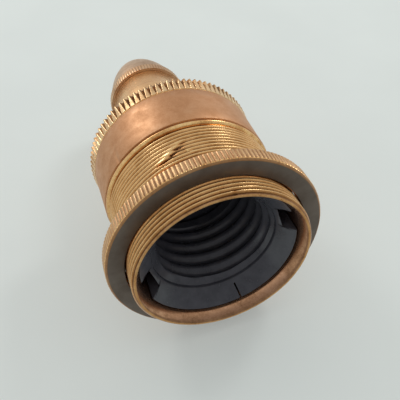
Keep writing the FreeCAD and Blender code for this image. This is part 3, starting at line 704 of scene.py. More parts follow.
# The nut's fluted band, between the dome's grey and the neck's gold, with its flutes' hollows darkened by dirt and
# painted shade and their ridges lightened by wear and a painted highlight.
NUT_BAND = AgedBrass("brass_nut_knurled", "E8C49A", "D8AC82", "B88C66", 0.30, 0.40,
                     relief=Relief(10.68, 10.75, 10.78, 10.84, dirt_and_shade="86603F", dirt_and_shade_share=0.5, wear_and_highlight_share=0.4))
# The skirt's thread: roots darkened with dirt and painted shade under broad crests lightened with wear and a painted
# highlight, so the rings stand out.
THREAD = AgedBrass("brass_thread_dirt_shade_wear_and_highlight", "E8B27A", "D49A62", "B87F4A", 0.24, 0.32,
                   relief=Relief(19.06, 19.30, 19.38, 19.49, dirt_and_shade="54331C", dirt_and_shade_share=0.94, wear_and_highlight_share=0.75))
# The ring's edge: fine teeth, pale on their flats from wear and a painted highlight, brown between from dirt and
# painted shade.
RING_EDGE = AgedBrass("brass_ring_knurled", "CEA67E", "BC8F68", "A2744E", 0.32, 0.42,
                      relief=Relief(23.56, 23.66, 23.70, 23.755, dirt_and_shade="7A5535", dirt_and_shade_share=0.55, wear_and_highlight_share=0.35))
# The cap's teeth: their flats pale, from wear and as a painted highlight.
TOOTH_FLAT = AgedBrass("brass_teeth_wear_and_highlight", "FADCB0", "E8C292", "CCA274", 0.28, 0.38)
# The gaps between the cap's teeth: brown, with dirt and as painted shade.
TOOTH_GAP = AgedBrass("brass_gaps_dirt_and_shade", "BC9064", "9A7048", "745032", 0.36, 0.50)


# ---- the holder's pieces


def finish_piece(name: str, form: BMesh, body: Body, node: str, finishes: Sequence[Material],
                 sharp: float = 40.0) -> Object:
    """Brings a form to metres, dresses it and sets it on its body in place of a CAD node.

    Args:
        name: The piece's name.
        form: Its mesh in mm.
        body: What it rides on.
        node: The CAD node that it stands for.
        finishes: Its materials, in the order of its faces' material numbers.
        sharp: The angle in degrees from which an edge stays crisp.

    Returns:
        The finished piece.
    """
    bmesh.ops.scale(form, verts=form.verts, vec=(MM, MM, MM))
    for face in form.faces:
        face.smooth = True
    piece = mesh_object(name, form)
    piece.data.set_sharp_from_angle(angle=math.radians(sharp))
    for finish in finishes:
        piece.data.materials.append(finish)
    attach(piece, body.value)
    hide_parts(node)
    LOG.info("%s: %d faces on %s", name, len(piece.data.polygons), body.value)
    return piece


@dataclass
class ThreadedSkirt:
    """The lower shell: plain mouth rim, fine thread for the shade ring, round bead and spigot for the cap."""

    crest: float = 19.5
    root: float = 19.0
    crest_power: float = 0.55       # the lower, the broader the crests
    thread_low: float = 0.12
    mouth_slope: float = 0.9
    runout_slope: float = 1.4
    lip_allowance: float = 0.03     # how far a dent's raised lip may pass the crests, in the ring's bore
    rubbed_from: float = 0.7        # the strength from which a raised lip is rubbed bright
    mouth_bore: float = 17.45
    mouth_edge: float = 19.04
    rim_inner: float = 18.5
    chamfer_top: float = 2.5
    bead_low: float = 22.75
    bead_top: float = 24.02
    bead_radius: float = 20.05
    spigot: float = 18.5
    lip_under: float = 26.8
    lip_top: float = 28.0
    lip_radius: float = 15.8
    points_per_turn: int = 10
    sides: int = 240
    dents: tuple[Dent, ...] = (
        Dent(2.5, 16.6, 2.4, 0.50, 34.0, 0.42),
        Dent(2.0, 17.7, 2.2, 0.42, 30.0, -0.42),
        Dent(7.6, 16.2, 1.8, 0.45, -46.0, 0.42),
        Dent(9.4, 15.6, 1.6, 0.36, -44.0, -0.40),
        Dent(-3.0, 15.2, 2.2, 0.42, 14.0, 0.32),
        Dent(-3.4, 16.1, 2.0, 0.36, 18.0, -0.45),
        Dent(22.0, 0.4, 0.7, 0.35, 60.0, 0.22),
    )

    def wave(self, height: float) -> float:
        """Returns the thread's radius: broad round crests and tight roots."""
        return self.root + (self.crest - self.root) * wave_at(height / FINE_THREAD_PITCH) ** self.crest_power

    def trimmed(self, radius: float, height: float) -> float:
        """Returns the radius after the mouth is chamfered and the thread runs out under the bead."""
        mouth = self.mouth_edge + self.mouth_slope * height
        runout = self.root - 0.02 + self.runout_slope * (self.bead_low - height)
        return min(radius, mouth, runout)

    def kept_clear(self, radius: float, height: float) -> float:
        """Returns the radius after the dents' lips are held back from the ring's bore."""
        return min(radius, self.crest + self.lip_allowance)

    def finish_at(self, middle: Vector, radius: float) -> SkirtFinish:
        """Finds a face's finish.

        Args:
            middle: The face's middle.
            radius: The middle's distance from the axis.

        Returns:
            The number of its material.
        """
        raised = radius > self.root and any(
            dent.depth < 0 and dent.strength(middle) > self.rubbed_from for dent in self.dents)
        on_bead = self.bead_low < middle.z < self.bead_top and radius > self.root
        on_rim = middle.z < 0.02 and radius > self.rim_inner - 0.06
        if raised or on_bead or on_rim:
            return SkirtFinish.RUBBED
        if radius < self.root - 0.15 or middle.z < self.thread_low:
            return SkirtFinish.PLAIN
        return SkirtFinish.THREAD

    def build(self, thread: Material, plain: Material, rubbed: Material) -> Object:
        """Builds the skirt.

        Args:
            thread: The finish of the thread.
            plain: The finish of the mouth, the bore and the spigot.
            rubbed: The finish of the bead, the mouth's flat rim and the dents' raised lips.

        Returns:
            The finished piece.
        """
        low, high = self.thread_low, self.bead_low
        form = threaded_wall(self.wave, FINE_THREAD_PITCH, low, high, self.points_per_turn, self.sides)
        limit_radius(form, self.trimmed)
        for dent in self.dents:
            dent.press(form)
        limit_radius(form, self.kept_clear)
        foot, head = rim_at(form, low), rim_at(form, high)
        swell = self.bead_radius - self.root
        middle = (self.bead_low + self.bead_top) / 2
        half = (self.bead_top - self.bead_low) / 2
        bead = [Level(self.root + swell * math.cos(turn), middle + half * math.sin(turn))
                for turn in (math.radians(degrees) for degrees in range(-75, 76, 15))]
        for level in (*bead, Level(self.spigot, self.bead_top), Level(self.spigot, self.lip_top - 0.2),
                      Level(self.spigot - 0.2, self.lip_top), Level(self.lip_radius, self.lip_top),
                      Level(self.lip_radius, self.lip_under)):
            head = grow_rim(form, head, level)
        for level in (Level(self.mouth_edge - 0.04, 0.04), Level(self.mouth_edge - 0.14, 0.0),
                      Level(self.rim_inner, 0.0), Level(self.rim_inner - 0.10, 0.06),
                      Level(self.mouth_bore + 0.12, self.chamfer_top - 0.3), Level(self.mouth_bore, self.chamfer_top),
                      Level(self.mouth_bore, self.lip_under)):
            foot = grow_rim(form, foot, level)
        bmesh.ops.bridge_loops(form, edges=foot + head)
        bmesh.ops.recalc_face_normals(form, faces=form.faces)
        number_faces(form, self.finish_at)
        return finish_piece("skirt_with_fine_thread", form, Body.HOLDER, "threaded_skirt",
                            [thread, plain, rubbed], 50.0)


@dataclass
class ShadeRing:
    """The screwed ring that holds a shade: flat browned front, bevelled rim and a straight knurl behind it."""

    bore: float = 19.56
    face: float = 4.5
    back: float = 7.9
    face_edge: float = 23.38
    knurl_radius: float = 23.76
    knurl_low: float = 4.98
    knurl_high: float = 7.62
    teeth: int = 166
    sides_per_tooth: int = 8
    groove_share: float = 0.55
    groove_low: float = 0.22
    groove_high: float = 0.09
    thread_depth: float = 0.4
    thread_lead_in: float = 0.35
    thread_parts: int = 20

    def shape(self, radius: float, height: float, angle: float) -> float:
        """Cuts the knurl's narrow grooves, deepest at the front, and the thread's into the bore.

        Args:
            radius: The plain radius.
            height: The height.
            angle: The angle about the axis, in radians.

        Returns:
            The radius there.
        """
        if radius == self.bore:
            return radius + self.thread_depth * wave_at(height / FINE_THREAD_PITCH - angle / FULL_TURN)
        if radius < self.knurl_radius - 0.05 or height > self.back - 0.1:
            return radius
        climb = (height - self.knurl_low) / (self.knurl_high - self.knurl_low)
        groove = max(0.0, (gap_at(angle, self.teeth) - 1 + self.groove_share) / self.groove_share)
        return radius - (self.groove_low + (self.groove_high - self.groove_low) * climb) * groove

    def finish_at(self, middle: Vector, radius: float) -> RingFinish:
        """Finds a face's finish.

        Args:
            middle: The face's middle.
            radius: The middle's distance from the axis.

        Returns:
            The number of its material.
        """
        if middle.z < self.face + 0.01:
            return RingFinish.BROWNED
        if abs(middle.z - self.knurl_low) < 0.14:
            return RingFinish.RUBBED
        return RingFinish.PLAIN if radius < self.face_edge - 0.5 else RingFinish.EDGE

    def build(self, edge: Material, browned: Material, plain: Material, rubbed: Material) -> Object:
        """Builds the ring.

        Args:
            edge: The finish of the knurl.
            browned: The finish of the flat front.
            plain: The finish of the back and the bore.
            rubbed: The finish of the teeth's front edge.

        Returns:
            The finished piece.
        """
        rise = (self.back - self.face - 2 * self.thread_lead_in) / self.thread_parts
        bore = [Level(self.bore, self.back - self.thread_lead_in - rise * step)
                for step in range(self.thread_parts + 1)]
        outline = [
            *bore,
            Level(self.bore + 0.32, self.face),
            Level(self.face_edge - 0.15, self.face),
            Level(self.face_edge, self.face + 0.04),
            Level(self.knurl_radius - 0.12, self.knurl_low - 0.10),
            Level(self.knurl_radius - 0.02, self.knurl_low),
            Level(self.knurl_radius, self.knurl_low + 0.12),
            Level(self.knurl_radius, self.knurl_high),
            Level(self.knurl_radius - 0.2, self.back - 0.04),
            Level(self.knurl_radius - 0.7, self.back),
            Level(self.bore + 0.35, self.back),
        ]
        form = turned(outline, self.teeth * self.sides_per_tooth, self.shape)
        number_faces(form, self.finish_at)
        return finish_piece("shade_ring_with_knurl", form, Body.SHADE_RING, "shade_ring",
                            [edge, browned, plain, rubbed], 30.0)


@dataclass
class CapShell:
    """The cover: plain spun wall, scribed line, teeth that flare out and sharpen towards the crown, low crown."""

    land: float = 18.8
    edge: float = 24.05
    wall: float = 20.2
    wall_flare: float = 0.16
    inside: float = 19.2
    land_top: float = 28.6
    scribe: float = 36.15
    knurl_low: float = 36.3
    knurl_top: float = 39.75
    knurl_base: float = 20.42
    knurl_radius: float = 20.98
    teeth: int = 96
    sides_per_tooth: int = 16
    flat_low: float = 0.80          # the flats' share of a tooth at the scribed line
    flat_high: float = 0.18
    gap_low: float = 0.16
    gap_high: float = 0.66
    flat_depth: float = 0.07        # what lies deeper is a gap
    band_parts: int = 8
    shoulder: float = 20.2
    crown: float = 42.0
    crown_radius: float = 12.3
    crown_bulge: float = -0.25      # below zero, the crown is dished
    crown_parts: int = 8
    hole: float = 10.15
    ceiling: float = 39.7
    ceiling_radius: float = 16.85
    ceiling_edge: float = 38.6
    dents: tuple[Dent, ...] = (Dent(-33.0, 24.4, 0.8, 0.4, 70.0, 0.25), Dent(-28.0, 30.4, 1.6, 0.12, 25.0, 0.03))

    def shape(self, radius: float, height: float, angle: float) -> float:
        """Cuts the knurl: broad low teeth at the scribed line, sharp and deep at the shoulder.

        Args:
            radius: The plain radius.
            height: The height.
            angle: The angle about the axis, in radians.

        Returns:
            The radius there.
        """
        if radius < self.knurl_base or not self.knurl_low <= height <= self.knurl_top:
            return radius
        climb = self.climb_at(height)
        flat = self.flat_low + (self.flat_high - self.flat_low) * climb
        groove = max(0.0, (gap_at(angle, self.teeth) - flat) / (1 - flat))
        return radius - (self.gap_low + (self.gap_high - self.gap_low) * climb) * groove

    def climb_at(self, height: float) -> float:
        """Returns how far up the knurl a height is, from 0 to 1."""
        return (height - self.knurl_low) / (self.knurl_top - self.knurl_low)

    def finish_at(self, middle: Vector, radius: float) -> CapFinish:
        """Finds a face's finish.

        Args:
            middle: The face's middle.
            radius: The middle's distance from the axis.

        Returns:
            The number of its material.
        """
        inner = radius < self.inside + 0.2
        if inner:
            return CapFinish.PLAIN if middle.z < self.crown - 0.1 else CapFinish.WALL
        if self.knurl_low < middle.z < self.knurl_top:
            flat = self.knurl_base + (self.knurl_radius - self.knurl_base) * self.climb_at(middle.z)
            # Tooth flats get the pale finish, from wear and a painted highlight; deeper gaps the dark one, from dirt
            # and painted shade.
            return CapFinish.DIRTY_AND_SHADED if flat - radius > self.flat_depth else CapFinish.WORN_AND_HIGHLIT
        return CapFinish.WORN_AND_HIGHLIT if self.scribe - 0.14 < middle.z < self.knurl_low else CapFinish.WALL

    def build(self, brass: Material, worn_and_highlit: Material, plain: Material, dirty_and_shaded: Material) -> Object:
        """Builds the cap.

        Args:
            brass: The finish of the wall and the crown.
            worn_and_highlit: The finish of the teeth's flats and the scribed line.
            plain: The finish of the inside.
            dirty_and_shaded: The finish of the gaps between the teeth.

        Returns:
            The finished piece.
        """
        foot = Vector((self.knurl_base + 0.02, self.knurl_low + 0.01))
        head = Vector((self.knurl_radius, self.knurl_top - 0.01))
        band = [Level(*foot.lerp(head, step / self.band_parts)) for step in range(self.band_parts + 1)]
        brow, top = Level(self.shoulder, self.knurl_top + 0.12), Level(self.crown_radius, self.crown)
        outline = [
            Level(self.land, self.edge + 0.15),
            Level(self.land + 0.15, self.edge),
            Level(self.wall - 0.22, self.edge),
            Level(self.wall - 0.05, self.edge + 0.06),
            Level(self.wall, self.edge + 0.22),
            Level(self.wall + self.wall_flare * 0.2, self.edge + 3.0),
            Level(self.wall + self.wall_flare * 0.8, self.scribe - 3.0),
            Level(self.wall + self.wall_flare, self.scribe - 0.16),
            Level(self.wall + self.wall_flare - 0.03, self.scribe - 0.1),
            Level(self.wall + self.wall_flare - 0.22, self.scribe - 0.02),
            Level(self.wall + self.wall_flare - 0.22, self.scribe + 0.06),
            *band,
            brow,
            *arc_levels(brow, top, self.crown_bulge, self.crown_parts),
            top,
            Level(self.hole + 0.2, self.crown),
            Level(self.hole, self.crown - 0.2),
            Level(self.hole, self.ceiling),
            Level(self.ceiling_radius, self.ceiling),
            Level(self.inside, self.ceiling_edge),
            Level(self.inside, self.land_top),
            Level(self.land, self.land_top),
        ]
        form = turned(outline, self.teeth * self.sides_per_tooth, self.shape)
        for dent in self.dents:
            dent.press(form)
        number_faces(form, self.finish_at)
        return finish_piece("cap_with_coarse_knurl", form, Body.CAP, "cap_shell",
                            [brass, worn_and_highlit, plain, dirty_and_shaded], 32.0)


@dataclass
class CordGripSleeve:
    """The neck between crown and nut, with a small step near its head and a threaded spigot for the nut."""

    bore: float = 8.4
    thread: float = 10.1
    base: float = 10.6
    neck: float = 10.2
    low: float = 36.7
    crown: float = 42.0
    step: float = 58.6
    shoulder: float = 64.9
    top: float = 69.0
    spigot: float = 9.15
    shelf: float = 62.0
    shelf_thickness: float = 1.4
    shelf_hole: float = 5.4
    pitch: float = 1.0
    thread_depth: float = 0.35
    parts_per_turn: int = 6
    sides: int = 192

    def shape(self, radius: float, height: float, angle: float) -> float:
        """Cuts the nut's thread into the spigot and the locknut's into the foot.

        Args:
            radius: The plain radius.
            height: The height.
            angle: The angle about the axis, in radians.

        Returns:
            The radius there.
        """
        on_spigot = radius == self.spigot and self.shoulder + 0.3 < height < self.top - 0.1
        on_foot = radius == self.thread and self.low + 0.1 < height < self.crown - 0.3
        if not (on_spigot or on_foot):
            return radius
        return radius - self.thread_depth * wave_at(height / self.pitch - angle / FULL_TURN)

    def build(self, brass: Material) -> Object:
        """Builds the sleeve.

        Args:
            brass: The neck's finish.

        Returns:
            The finished piece.
        """
        fine = self.pitch / self.parts_per_turn
        foot = [Level(self.thread, self.low + 0.2 + fine * step) for step in range(30)]
        spigot = [Level(self.spigot, self.shoulder + 0.2 + fine * step) for step in range(22)]
        outline = [
            Level(self.bore, self.low),
            Level(self.thread - 0.3, self.low),
            *foot,
            Level(self.thread, self.crown),
            Level(self.base, self.crown),
            *arc_levels(Level(self.base, self.crown), Level(self.base, self.step - 0.5), 0.0, 3),
            Level(self.base, self.step - 0.5),
            Level(self.base - 0.04, self.step - 0.36),
            Level(self.neck + 0.05, self.step - 0.1),
            Level(self.neck, self.step + 0.05),
            Level(self.neck, self.shoulder - 0.25),
            Level(self.neck - 0.07, self.shoulder - 0.07),
            Level(self.neck - 0.25, self.shoulder),
            Level(self.spigot, self.shoulder),
            *spigot,
            Level(self.spigot - 0.3, self.top),
            Level(self.bore, self.top),
            Level(self.bore, self.shelf),
            Level(self.shelf_hole + 0.2, self.shelf),
            Level(self.shelf_hole, self.shelf - 0.2),
            Level(self.shelf_hole, self.shelf - self.shelf_thickness),
            Level(self.bore, self.shelf - self.shelf_thickness),
        ]
        form = turned(outline, self.sides, self.shape)
        return finish_piece("neck_sleeve", form, Body.CAP, "cord_grip_sleeve", [brass])


@dataclass
class CordGripNut:
    """The domed nut over the jaws: finely fluted band, bowed dome, small flat round the cord hole."""

    bore: float = 9.45
    low: float = 65.0
    band: float = 10.83
    band_top: float = 67.6
    flutes: int = 84
    sides_per_flute: int = 4
    flute_depth: float = 0.15
    dome_low: float = 67.9
    dome_radius: float = 10.2
    face: float = 79.8
    face_radius: float = 6.2
    dome_bulge: float = 0.6
    dome_parts: int = 14
    hole: float = 4.6
    hole_low: float = 76.5
    cone_low: float = 69.6
    cone_radius: float = 8.4

    def shape(self, radius: float, height: float, angle: float) -> float:
        """Cuts the flutes into the band.

        Args:
            radius: The plain radius.
            height: The height.
            angle: The angle about the axis, in radians.

        Returns:
            The radius there.
        """
        if radius < self.band - 0.1 or not self.low + 0.15 < height < self.band_top - 0.05:
            return radius
        return radius - self.flute_depth * gap_at(angle, self.flutes)

    def finish_at(self, middle: Vector, radius: float) -> NutFinish:
        """Finds a face's finish.

        Args:
            middle: The face's middle.
            radius: The middle's distance from the axis.

        Returns:
            The number of its material.
        """
        on_band = middle.z < self.band_top and radius > self.dome_radius + 0.2
        return NutFinish.FLUTED if on_band else NutFinish.DOME

    def build(self, brass: Material, fluted: Material) -> Object:
        """Builds the nut.

        Args:
            brass: The finish of the dome and the inside.
            fluted: The finish of the band.

        Returns:
            The finished piece.
        """
        dome_foot, dome_head = Level(self.dome_radius, self.dome_low), Level(self.face_radius + 0.25, self.face - 0.35)
        outline = [
            Level(self.bore, self.low + 0.15),
            Level(self.bore + 0.15, self.low),
            Level(self.band - 0.3, self.low),
            Level(self.band - 0.06, self.low + 0.1),
            Level(self.band, self.low + 0.22),
            Level(self.band, self.band_top - 0.2),
            Level(self.band - 0.12, self.band_top - 0.02),
            Level(self.dome_radius - 0.12, self.band_top + 0.05),
            Level(self.dome_radius - 0.12, self.dome_low - 0.1),
            dome_foot,
            *arc_levels(dome_foot, dome_head, self.dome_bulge, self.dome_parts),
            dome_head,
            Level(self.face_radius - 0.02, self.face - 0.12),
            Level(self.face_radius - 0.5, self.face),
            Level(self.hole + 0.35, self.face),
            Level(self.hole + 0.08, self.face - 0.1),
            Level(self.hole, self.face - 0.4),
            Level(self.hole, self.hole_low),
            Level(self.cone_radius, self.cone_low),
            Level(self.bore, self.cone_low),
        ]
        form = turned(outline, self.flutes * self.sides_per_flute, self.shape)
        number_faces(form, self.finish_at)
        return finish_piece("domed_grip_nut", form, Body.GRIP_NUT, "cord_grip_nut",
                            [brass, fluted], 32.0)


@dataclass
class ThreadLiner:
    """The black moulding: notched funnel collar at the mouth, round lamp thread, tube with the contact's slot."""

    crest: float = 12.25
    root: float = 13.3
    pitch: float = 3.63
    clear: float = 12.7
    thread_top: float = 24.4
    entry: float = 7.1
    rim: float = 13.9
    rim_height: float = 6.4
    collar: float = 17.3
    collar_face: float = 2.8
    collar_top: float = 9.6
    tube: float = 15.9
    shoulder: float = 24.0
    top: float = 26.8
    notch_inner: float = 14.7
    wide_notch: float = 6.4
    narrow_notch: float = 0.35
    slot_half_width: float = 2.3
    slot_low: float = 12.8
    slot_inner: float = 11.6
    slot_radius: float = 15.0
    cutter_reach: float = 20.0      # past the collar's side
    cutter_top: float = 12.0        # past the collar's top
    points_per_turn: int = 18
    sides: int = 144

    def wave(self, height: float) -> float:
        """Returns the lamp thread's radius, round at crest and root."""
        return self.crest + (self.root - self.crest) * wave_at(height / self.pitch - 0.25)

    def opened(self, radius: float, height: float) -> float:
        """Returns the radius after the thread's start is coned out to the collar's opening."""
        return max(radius, self.rim - 0.9 * (height - self.entry))

    def build_tube(self) -> BMesh:
        """Builds the threaded tube with the slot for the shell contact.

        Returns:
            The tube's mesh.
        """
        form = threaded_wall(self.wave, self.pitch, self.entry, self.thread_top, self.points_per_turn, self.sides)
        limit_radius(form, self.opened)
        foot, head = rim_at(form, self.entry), rim_at(form, self.thread_top)
        for level in (Level(self.clear, self.thread_top + 0.3), Level(self.clear, self.top),
                      Level(self.collar, self.top), Level(self.collar, self.shoulder),
                      Level(self.tube, self.shoulder), Level(self.tube, self.collar_top)):
            head = grow_rim(form, head, level)
        bmesh.ops.bridge_loops(form, edges=foot + head)
        bmesh.ops.recalc_face_normals(form, faces=form.faces)
        slot = block(Vector((self.slot_inner, -self.slot_half_width, self.slot_low)),
                     Vector((self.slot_radius, self.slot_half_width, self.top + 1)), azimuth=0.0)
        return carved(form, [slot])

    def build_collar(self) -> BMesh:
        """Builds the funnel collar, cut by two wide notches and two narrow ones.

        Returns:
            The collar's mesh.
        """
        corners = [Corner(self.rim, self.rim_height, 0.2), Corner(self.collar - 0.2, self.collar_face),
                   Corner(self.collar, self.collar_face + 0.2), Corner(self.collar, self.collar_top),
                   Corner(self.rim, self.collar_top)]
        form = turned(eased(corners), self.sides)
        notches = ((90.0, self.wide_notch), (-90.0, self.wide_notch),
                   (0.0, self.narrow_notch), (180.0, self.narrow_notch))
        cutters = [block(Vector((self.notch_inner, -width / 2, 0)),
                         Vector((self.cutter_reach, width / 2, self.cutter_top)), azimuth)
                   for azimuth, width in notches]
        form = carved(form, cutters)
        ease_sharp_edges(form, 40.0, 0.12)
        return form

    def build(self, moulding: Material) -> Object:
        """Builds the liner.

        Args:
            moulding: The moulding's finish.

        Returns:
            The finished piece.
        """
        form = self.build_tube()
        collar = self.build_collar()
        spare = bpy.data.meshes.new("collar")
        collar.to_mesh(spare)
        collar.free()
        form.from_mesh(spare)
        bpy.data.meshes.remove(spare)
        return finish_piece("liner_with_lamp_thread", form, Body.HOLDER, "thread_liner", [moulding])


@dataclass
class PlungerSpring:
    """The coil behind the centre plunger."""

    coil_radius: float = 1.93
    wire_radius: float = 0.17
    low: float = 28.84
    high: float = 32.16
    turns: int = 4
    steps_per_turn: int = 28
    wire_sides: int = 10
    anchor: float = 32.2
    travel: float = 1.8

    def build(self, steel: Material) -> Object:
        """Builds the coil.

        Args:
            steel: The wire's finish.

        Returns:
            The finished piece.
        """
        form = bmesh.new()
        steps = self.turns * self.steps_per_turn
        start = self.low + self.wire_radius
        climb = (self.high - self.low - 2 * self.wire_radius) / steps
        upright = Matrix.Translation((self.coil_radius, 0, start)) @ Matrix.Rotation(math.pi / 2, 4, "X")
        bmesh.ops.create_circle(form, cap_ends=True, segments=self.wire_sides, radius=self.wire_radius, matrix=upright)
        bmesh.ops.spin(form, geom=list(form.faces), cent=(0, 0, 0), axis=(0, 0, 1), dvec=(0, 0, climb),
                       angle=FULL_TURN * self.turns, steps=steps, use_merge=False, use_duplicate=False)
        bmesh.ops.recalc_face_normals(form, faces=form.faces)
        piece = finish_piece("plunger_coil", form, Body.HOLDER, "plunger_spring", [steel])
        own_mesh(piece)
        return piece


@dataclass
class InnerParts:
    """The parts whose CAD shape is right, which only get their finish."""

    finishes: dict[str, Material]

    def dress(self) -> None:
        """Gives each part its finish."""
        for node, finish in self.finishes.items():
            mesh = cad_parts[node].data
            mesh.materials.clear()
            mesh.materials.append(finish)
            LOG.info("%s: %s", node, finish.name)


# ---- stage


@dataclass(frozen=True)
class SoftLamp:
    """A soft square lamp that looks at the holder: its azimuth and elevation in degrees, its distance and side in
    metres and its power in watts."""

    name: str
    azimuth: float
    elevation: float
    distance: float
    side: float
    power: float

    def hang(self, target: Vector) -> None:
        """Puts the lamp in the scene.

        Args:
            target: The place that it looks at, in metres.
        """
        lamp = bpy.data.lights.new(self.name, "AREA")
        lamp.size = self.side
        lamp.energy = self.power
        rise, turn = math.radians(self.elevation), math.radians(self.azimuth)
        away = Vector((math.sin(turn) * math.cos(rise), -math.cos(turn) * math.cos(rise), math.sin(rise)))
        holder = bpy.data.objects.new(self.name, lamp)
        holder.location = target + away * self.distance
        holder.rotation_euler = away.to_track_quat("Z", "Y").to_euler()
        bpy.context.scene.collection.objects.link(holder)


@dataclass
class Stage:
    """A pale table beside the holder, a pale floor under it, three soft lamps and the room round them."""

    table_point: Vector
    table_normal: Vector
    table_colour: str = "E4EAE6"
    floor_colour: str = "DCE2DF"
    own_colour: str = "ECF2EF"
    own_share: float = 0.30
    drift_size: float = 40.0        # mm
    drift_share: float = 0.96
    half_side: float = 0.40         # in metres, and so are the other places and sizes below
    floor_sides: int = 96
    floor_opening: float = 0.0172
    floor_height: float = -0.0001
    lamp_target: float = 0.03
    room_tones: tuple[tuple[float, tuple], ...] = (     # from straight below to straight above, linear
        (0.05, (0.34, 0.34, 0.35, 1)),
        (0.27, (0.34, 0.34, 0.35, 1)),
        (0.43, (0.73, 0.75, 0.74, 1)),
        (0.66, (0.73, 0.75, 0.74, 1)),
        (0.80, (0.60, 0.60, 0.60, 1)),
        (1.00, (0.60, 0.60, 0.60, 1)),
    )
    lamps: tuple[SoftLamp, ...] = (
        SoftLamp("front_window", -19.0, 50.0, 0.55, 0.14, 0.52),
        SoftLamp("side_window", 62.0, 18.0, 0.55, 0.12, 0.48),
        SoftLamp("rear_fill", 195.0, 40.0, 0.60, 0.40, 0.6),
    )

    def one_sided(self, name: str, colour: str) -> Material:
        """Makes a pale matt finish that is clear from behind.

        Args:
            name: The material's name.
            colour: Its hex code.

        Returns:
            The material.
        """
        material, tree, shader = new_material(name)
        tree.nodes.clear()
        place = add_node(tree, "ShaderNodeTexCoord").outputs["Object"]
        drift = add_node(tree, "ShaderNodeTexNoise", {"Scale": per_metre(self.drift_size), "Detail": 3.0},
                         {"Vector": place})
        ramp = add_node(tree, "ShaderNodeValToRGB", links={"Fac": drift.outputs[0]})
        pale = linear_colour(colour)
        shaded = tuple(share * self.drift_share for share in pale[:3]) + (1.0,)
        tint = fill_ramp(ramp, ((0.35, shaded), (0.65, pale)))
        matt = add_node(tree, "ShaderNodeBsdfDiffuse", links={"Color": tint})
        own = add_node(tree, "ShaderNodeEmission", {"Color": linear_colour(self.own_colour), "Strength": 1.0})
        ray = add_node(tree, "ShaderNodeLightPath").outputs
        seen = add_node(tree, "ShaderNodeMath", links={0: ray["Is Camera Ray"], 1: ray["Is Glossy Ray"]})
        shown = add_node(tree, "ShaderNodeMath", links={0: seen.outputs[0], 1: ray["Is Transmission Ray"]})
        lift = add_node(tree, "ShaderNodeMath", {1: self.own_share}, {0: shown.outputs[0]}, operation="MULTIPLY")
        lifted = add_node(tree, "ShaderNodeMixShader",
                          links={0: lift.outputs[0], 1: matt.outputs[0], 2: own.outputs[0]})
        clear = add_node(tree, "ShaderNodeBsdfTransparent")
        back = add_node(tree, "ShaderNodeNewGeometry").outputs["Backfacing"]
        surface = add_node(tree, "ShaderNodeMixShader", links={0: back, 1: lifted.outputs[0], 2: clear.outputs[0]})
        add_node(tree, "ShaderNodeOutputMaterial", links={"Surface": surface.outputs[0]})
        return material

    def board(self, name: str, point: Vector, normal: Vector, finish: Material) -> Object:
        """Makes a square board.

        Args:
            name: The board's name.
            point: A place that it goes through, in metres.
            normal: The way that it faces.
            finish: Its material.

        Returns:
            The board.
        """
        form = bmesh.new()
        bmesh.ops.create_grid(form, x_segments=1, y_segments=1, size=self.half_side)
        turn = normal.to_track_quat("Z", "Y").to_matrix()
        bmesh.ops.rotate(form, verts=form.verts, cent=(0, 0, 0), matrix=turn)
        bmesh.ops.translate(form, verts=form.verts, vec=point)
        piece = mesh_object(name, form)
        piece.data.materials.append(finish)
        piece.visible_shadow = False
        return piece

    def floor(self, finish: Material) -> None:
        """Lays a round floor under the holder, open under its mouth, where a lamp would go in.

        Args:
            finish: Its material.
        """
        form = bmesh.new()
        bmesh.ops.create_circle(form, cap_ends=False, segments=self.floor_sides, radius=self.floor_opening)
        grown = bmesh.ops.extrude_edge_only(form, edges=form.edges)["geom"]
        outer = [part for part in grown if isinstance(part, BMVert)]
        bmesh.ops.scale(form, verts=outer, vec=Vector((1, 1, 1)) * self.half_side / self.floor_opening)
        bmesh.ops.translate(form, verts=form.verts, vec=(0, 0, self.floor_height))
        bmesh.ops.recalc_face_normals(form, faces=form.faces)
        if form.faces[:][0].normal.z < 0:
            bmesh.ops.reverse_faces(form, faces=form.faces)
        piece = mesh_object("floor", form)
        piece.data.materials.append(finish)
        piece.visible_shadow = False
        piece.visible_diffuse = False

    def room(self) -> None:
        """Makes the room: pale at eye level, darker overhead and below."""
        world = bpy.data.worlds.new("room")
        world.use_nodes = True
        tree = world.node_tree
        tree.nodes.clear()
        aim = add_node(tree, "ShaderNodeTexCoord").outputs["Generated"]
        rise = add_node(tree, "ShaderNodeSeparateXYZ", links={0: aim}).outputs["Z"]
        share = add_node(tree, "ShaderNodeMapRange", {"From Min": -1.0, "From Max": 1.0}, {"Value": rise})
        ramp = add_node(tree, "ShaderNodeValToRGB", links={"Fac": share.outputs[0]})
        tint = fill_ramp(ramp, self.room_tones)
        light = add_node(tree, "ShaderNodeBackground", {"Strength": 1.0}, {"Color": tint})
        add_node(tree, "ShaderNodeOutputWorld", links={"Surface": light.outputs[0]})
        bpy.context.scene.world = world

    def build(self) -> None:
        """Sets up the stage."""
        laminate = self.one_sided("table_laminate", self.table_colour)
        self.board("table", self.table_point * MM, self.table_normal, laminate)
        self.floor(self.one_sided("floor_matt", self.floor_colour))
        for lamp in self.lamps:
            lamp.hang(Vector((0, 0, self.lamp_target)))
        self.room()


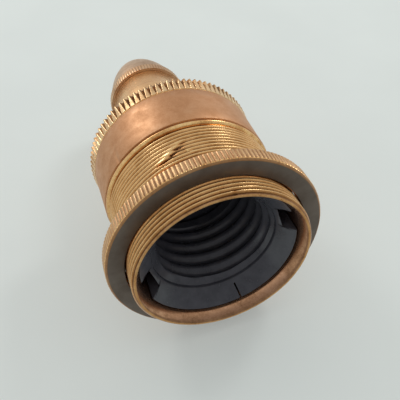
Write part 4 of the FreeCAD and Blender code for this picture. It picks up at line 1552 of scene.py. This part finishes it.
@dataclass
class Camera:
    """The photograph's camera: close to the mouth, looking up past it, and rolled. Its place is in mm."""

    place: Vector
    right: Vector
    up: Vector
    focal_pixels: float

    def build(self) -> None:
        """Puts the camera in the scene."""
        lens = bpy.data.cameras.new("photo_camera")
        lens.sensor_width = SENSOR_WIDTH
        lens.lens = self.focal_pixels * SENSOR_WIDTH / PICTURE_SIDE
        lens.clip_start = 0.005
        camera = bpy.data.objects.new("photo_camera", lens)
        right, up = self.right.normalized(), self.up.normalized()
        turn = Matrix((right, up, right.cross(up))).transposed()
        camera.matrix_world = Matrix.Translation(self.place * MM) @ turn.to_4x4()
        bpy.context.scene.collection.objects.link(camera)
        bpy.context.scene.camera = camera


def main() -> None:
    """Builds the holder's looks, the stage and the camera."""
    logging.basicConfig(level=logging.INFO, format="%(message)s")
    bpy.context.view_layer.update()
    Camera(place=Vector((1.11, -84.83, -62.47)), right=Vector((0.9022, 0.3008, -0.3091)),
           up=Vector((0.4313, -0.6293, 0.6465)), focal_pixels=513.3).build()
    black = BLACK_PHENOLIC.material()
    clean = CLEAN_BRASS.material()
    steel = ZINC_STEEL.material()
    nylon = NYLON_GRIP.material()
    turned_brass = TURNED.material()
    rubbed_brass = BEAD.material()
    ThreadedSkirt().build(THREAD.material(), turned_brass, rubbed_brass)
    ShadeRing().build(RING_EDGE.material(), TARNISHED_FACE.material(), turned_brass, rubbed_brass)
    CapShell().build(CAP_WALL.material(), TOOTH_FLAT.material(), turned_brass, TOOTH_GAP.material())
    CordGripSleeve().build(NECK.material())
    CordGripNut().build(DOME.material(), NUT_BAND.material())
    ThreadLiner().build(black)
    PlungerSpring().build(steel)
    InnerParts({
        "terminal_base": black,
        "live_terminal": clean,
        "centre_plunger": clean,
        "neutral_terminal": clean,
        "shell_contact": clean,
        "earth_terminal": clean,
        "sleeve_locknut": clean,
        "cap_lining": VULCANISED_FIBRE.material(),
        "grip_jaw_left": nylon,
        "grip_jaw_right": nylon,
        "base_fixing_screws": steel,
        "live_terminal_screw": steel,
        "neutral_terminal_screw": steel,
        "earth_terminal_screw": steel,
    }).dress()
    Stage(table_point=Vector((-6.94, 22.73, 0)), table_normal=Vector((0.290, -0.954, -0.081))).build()
    bpy.context.scene.view_settings.view_transform = "Standard"


if __name__ == "__main__":
    main()
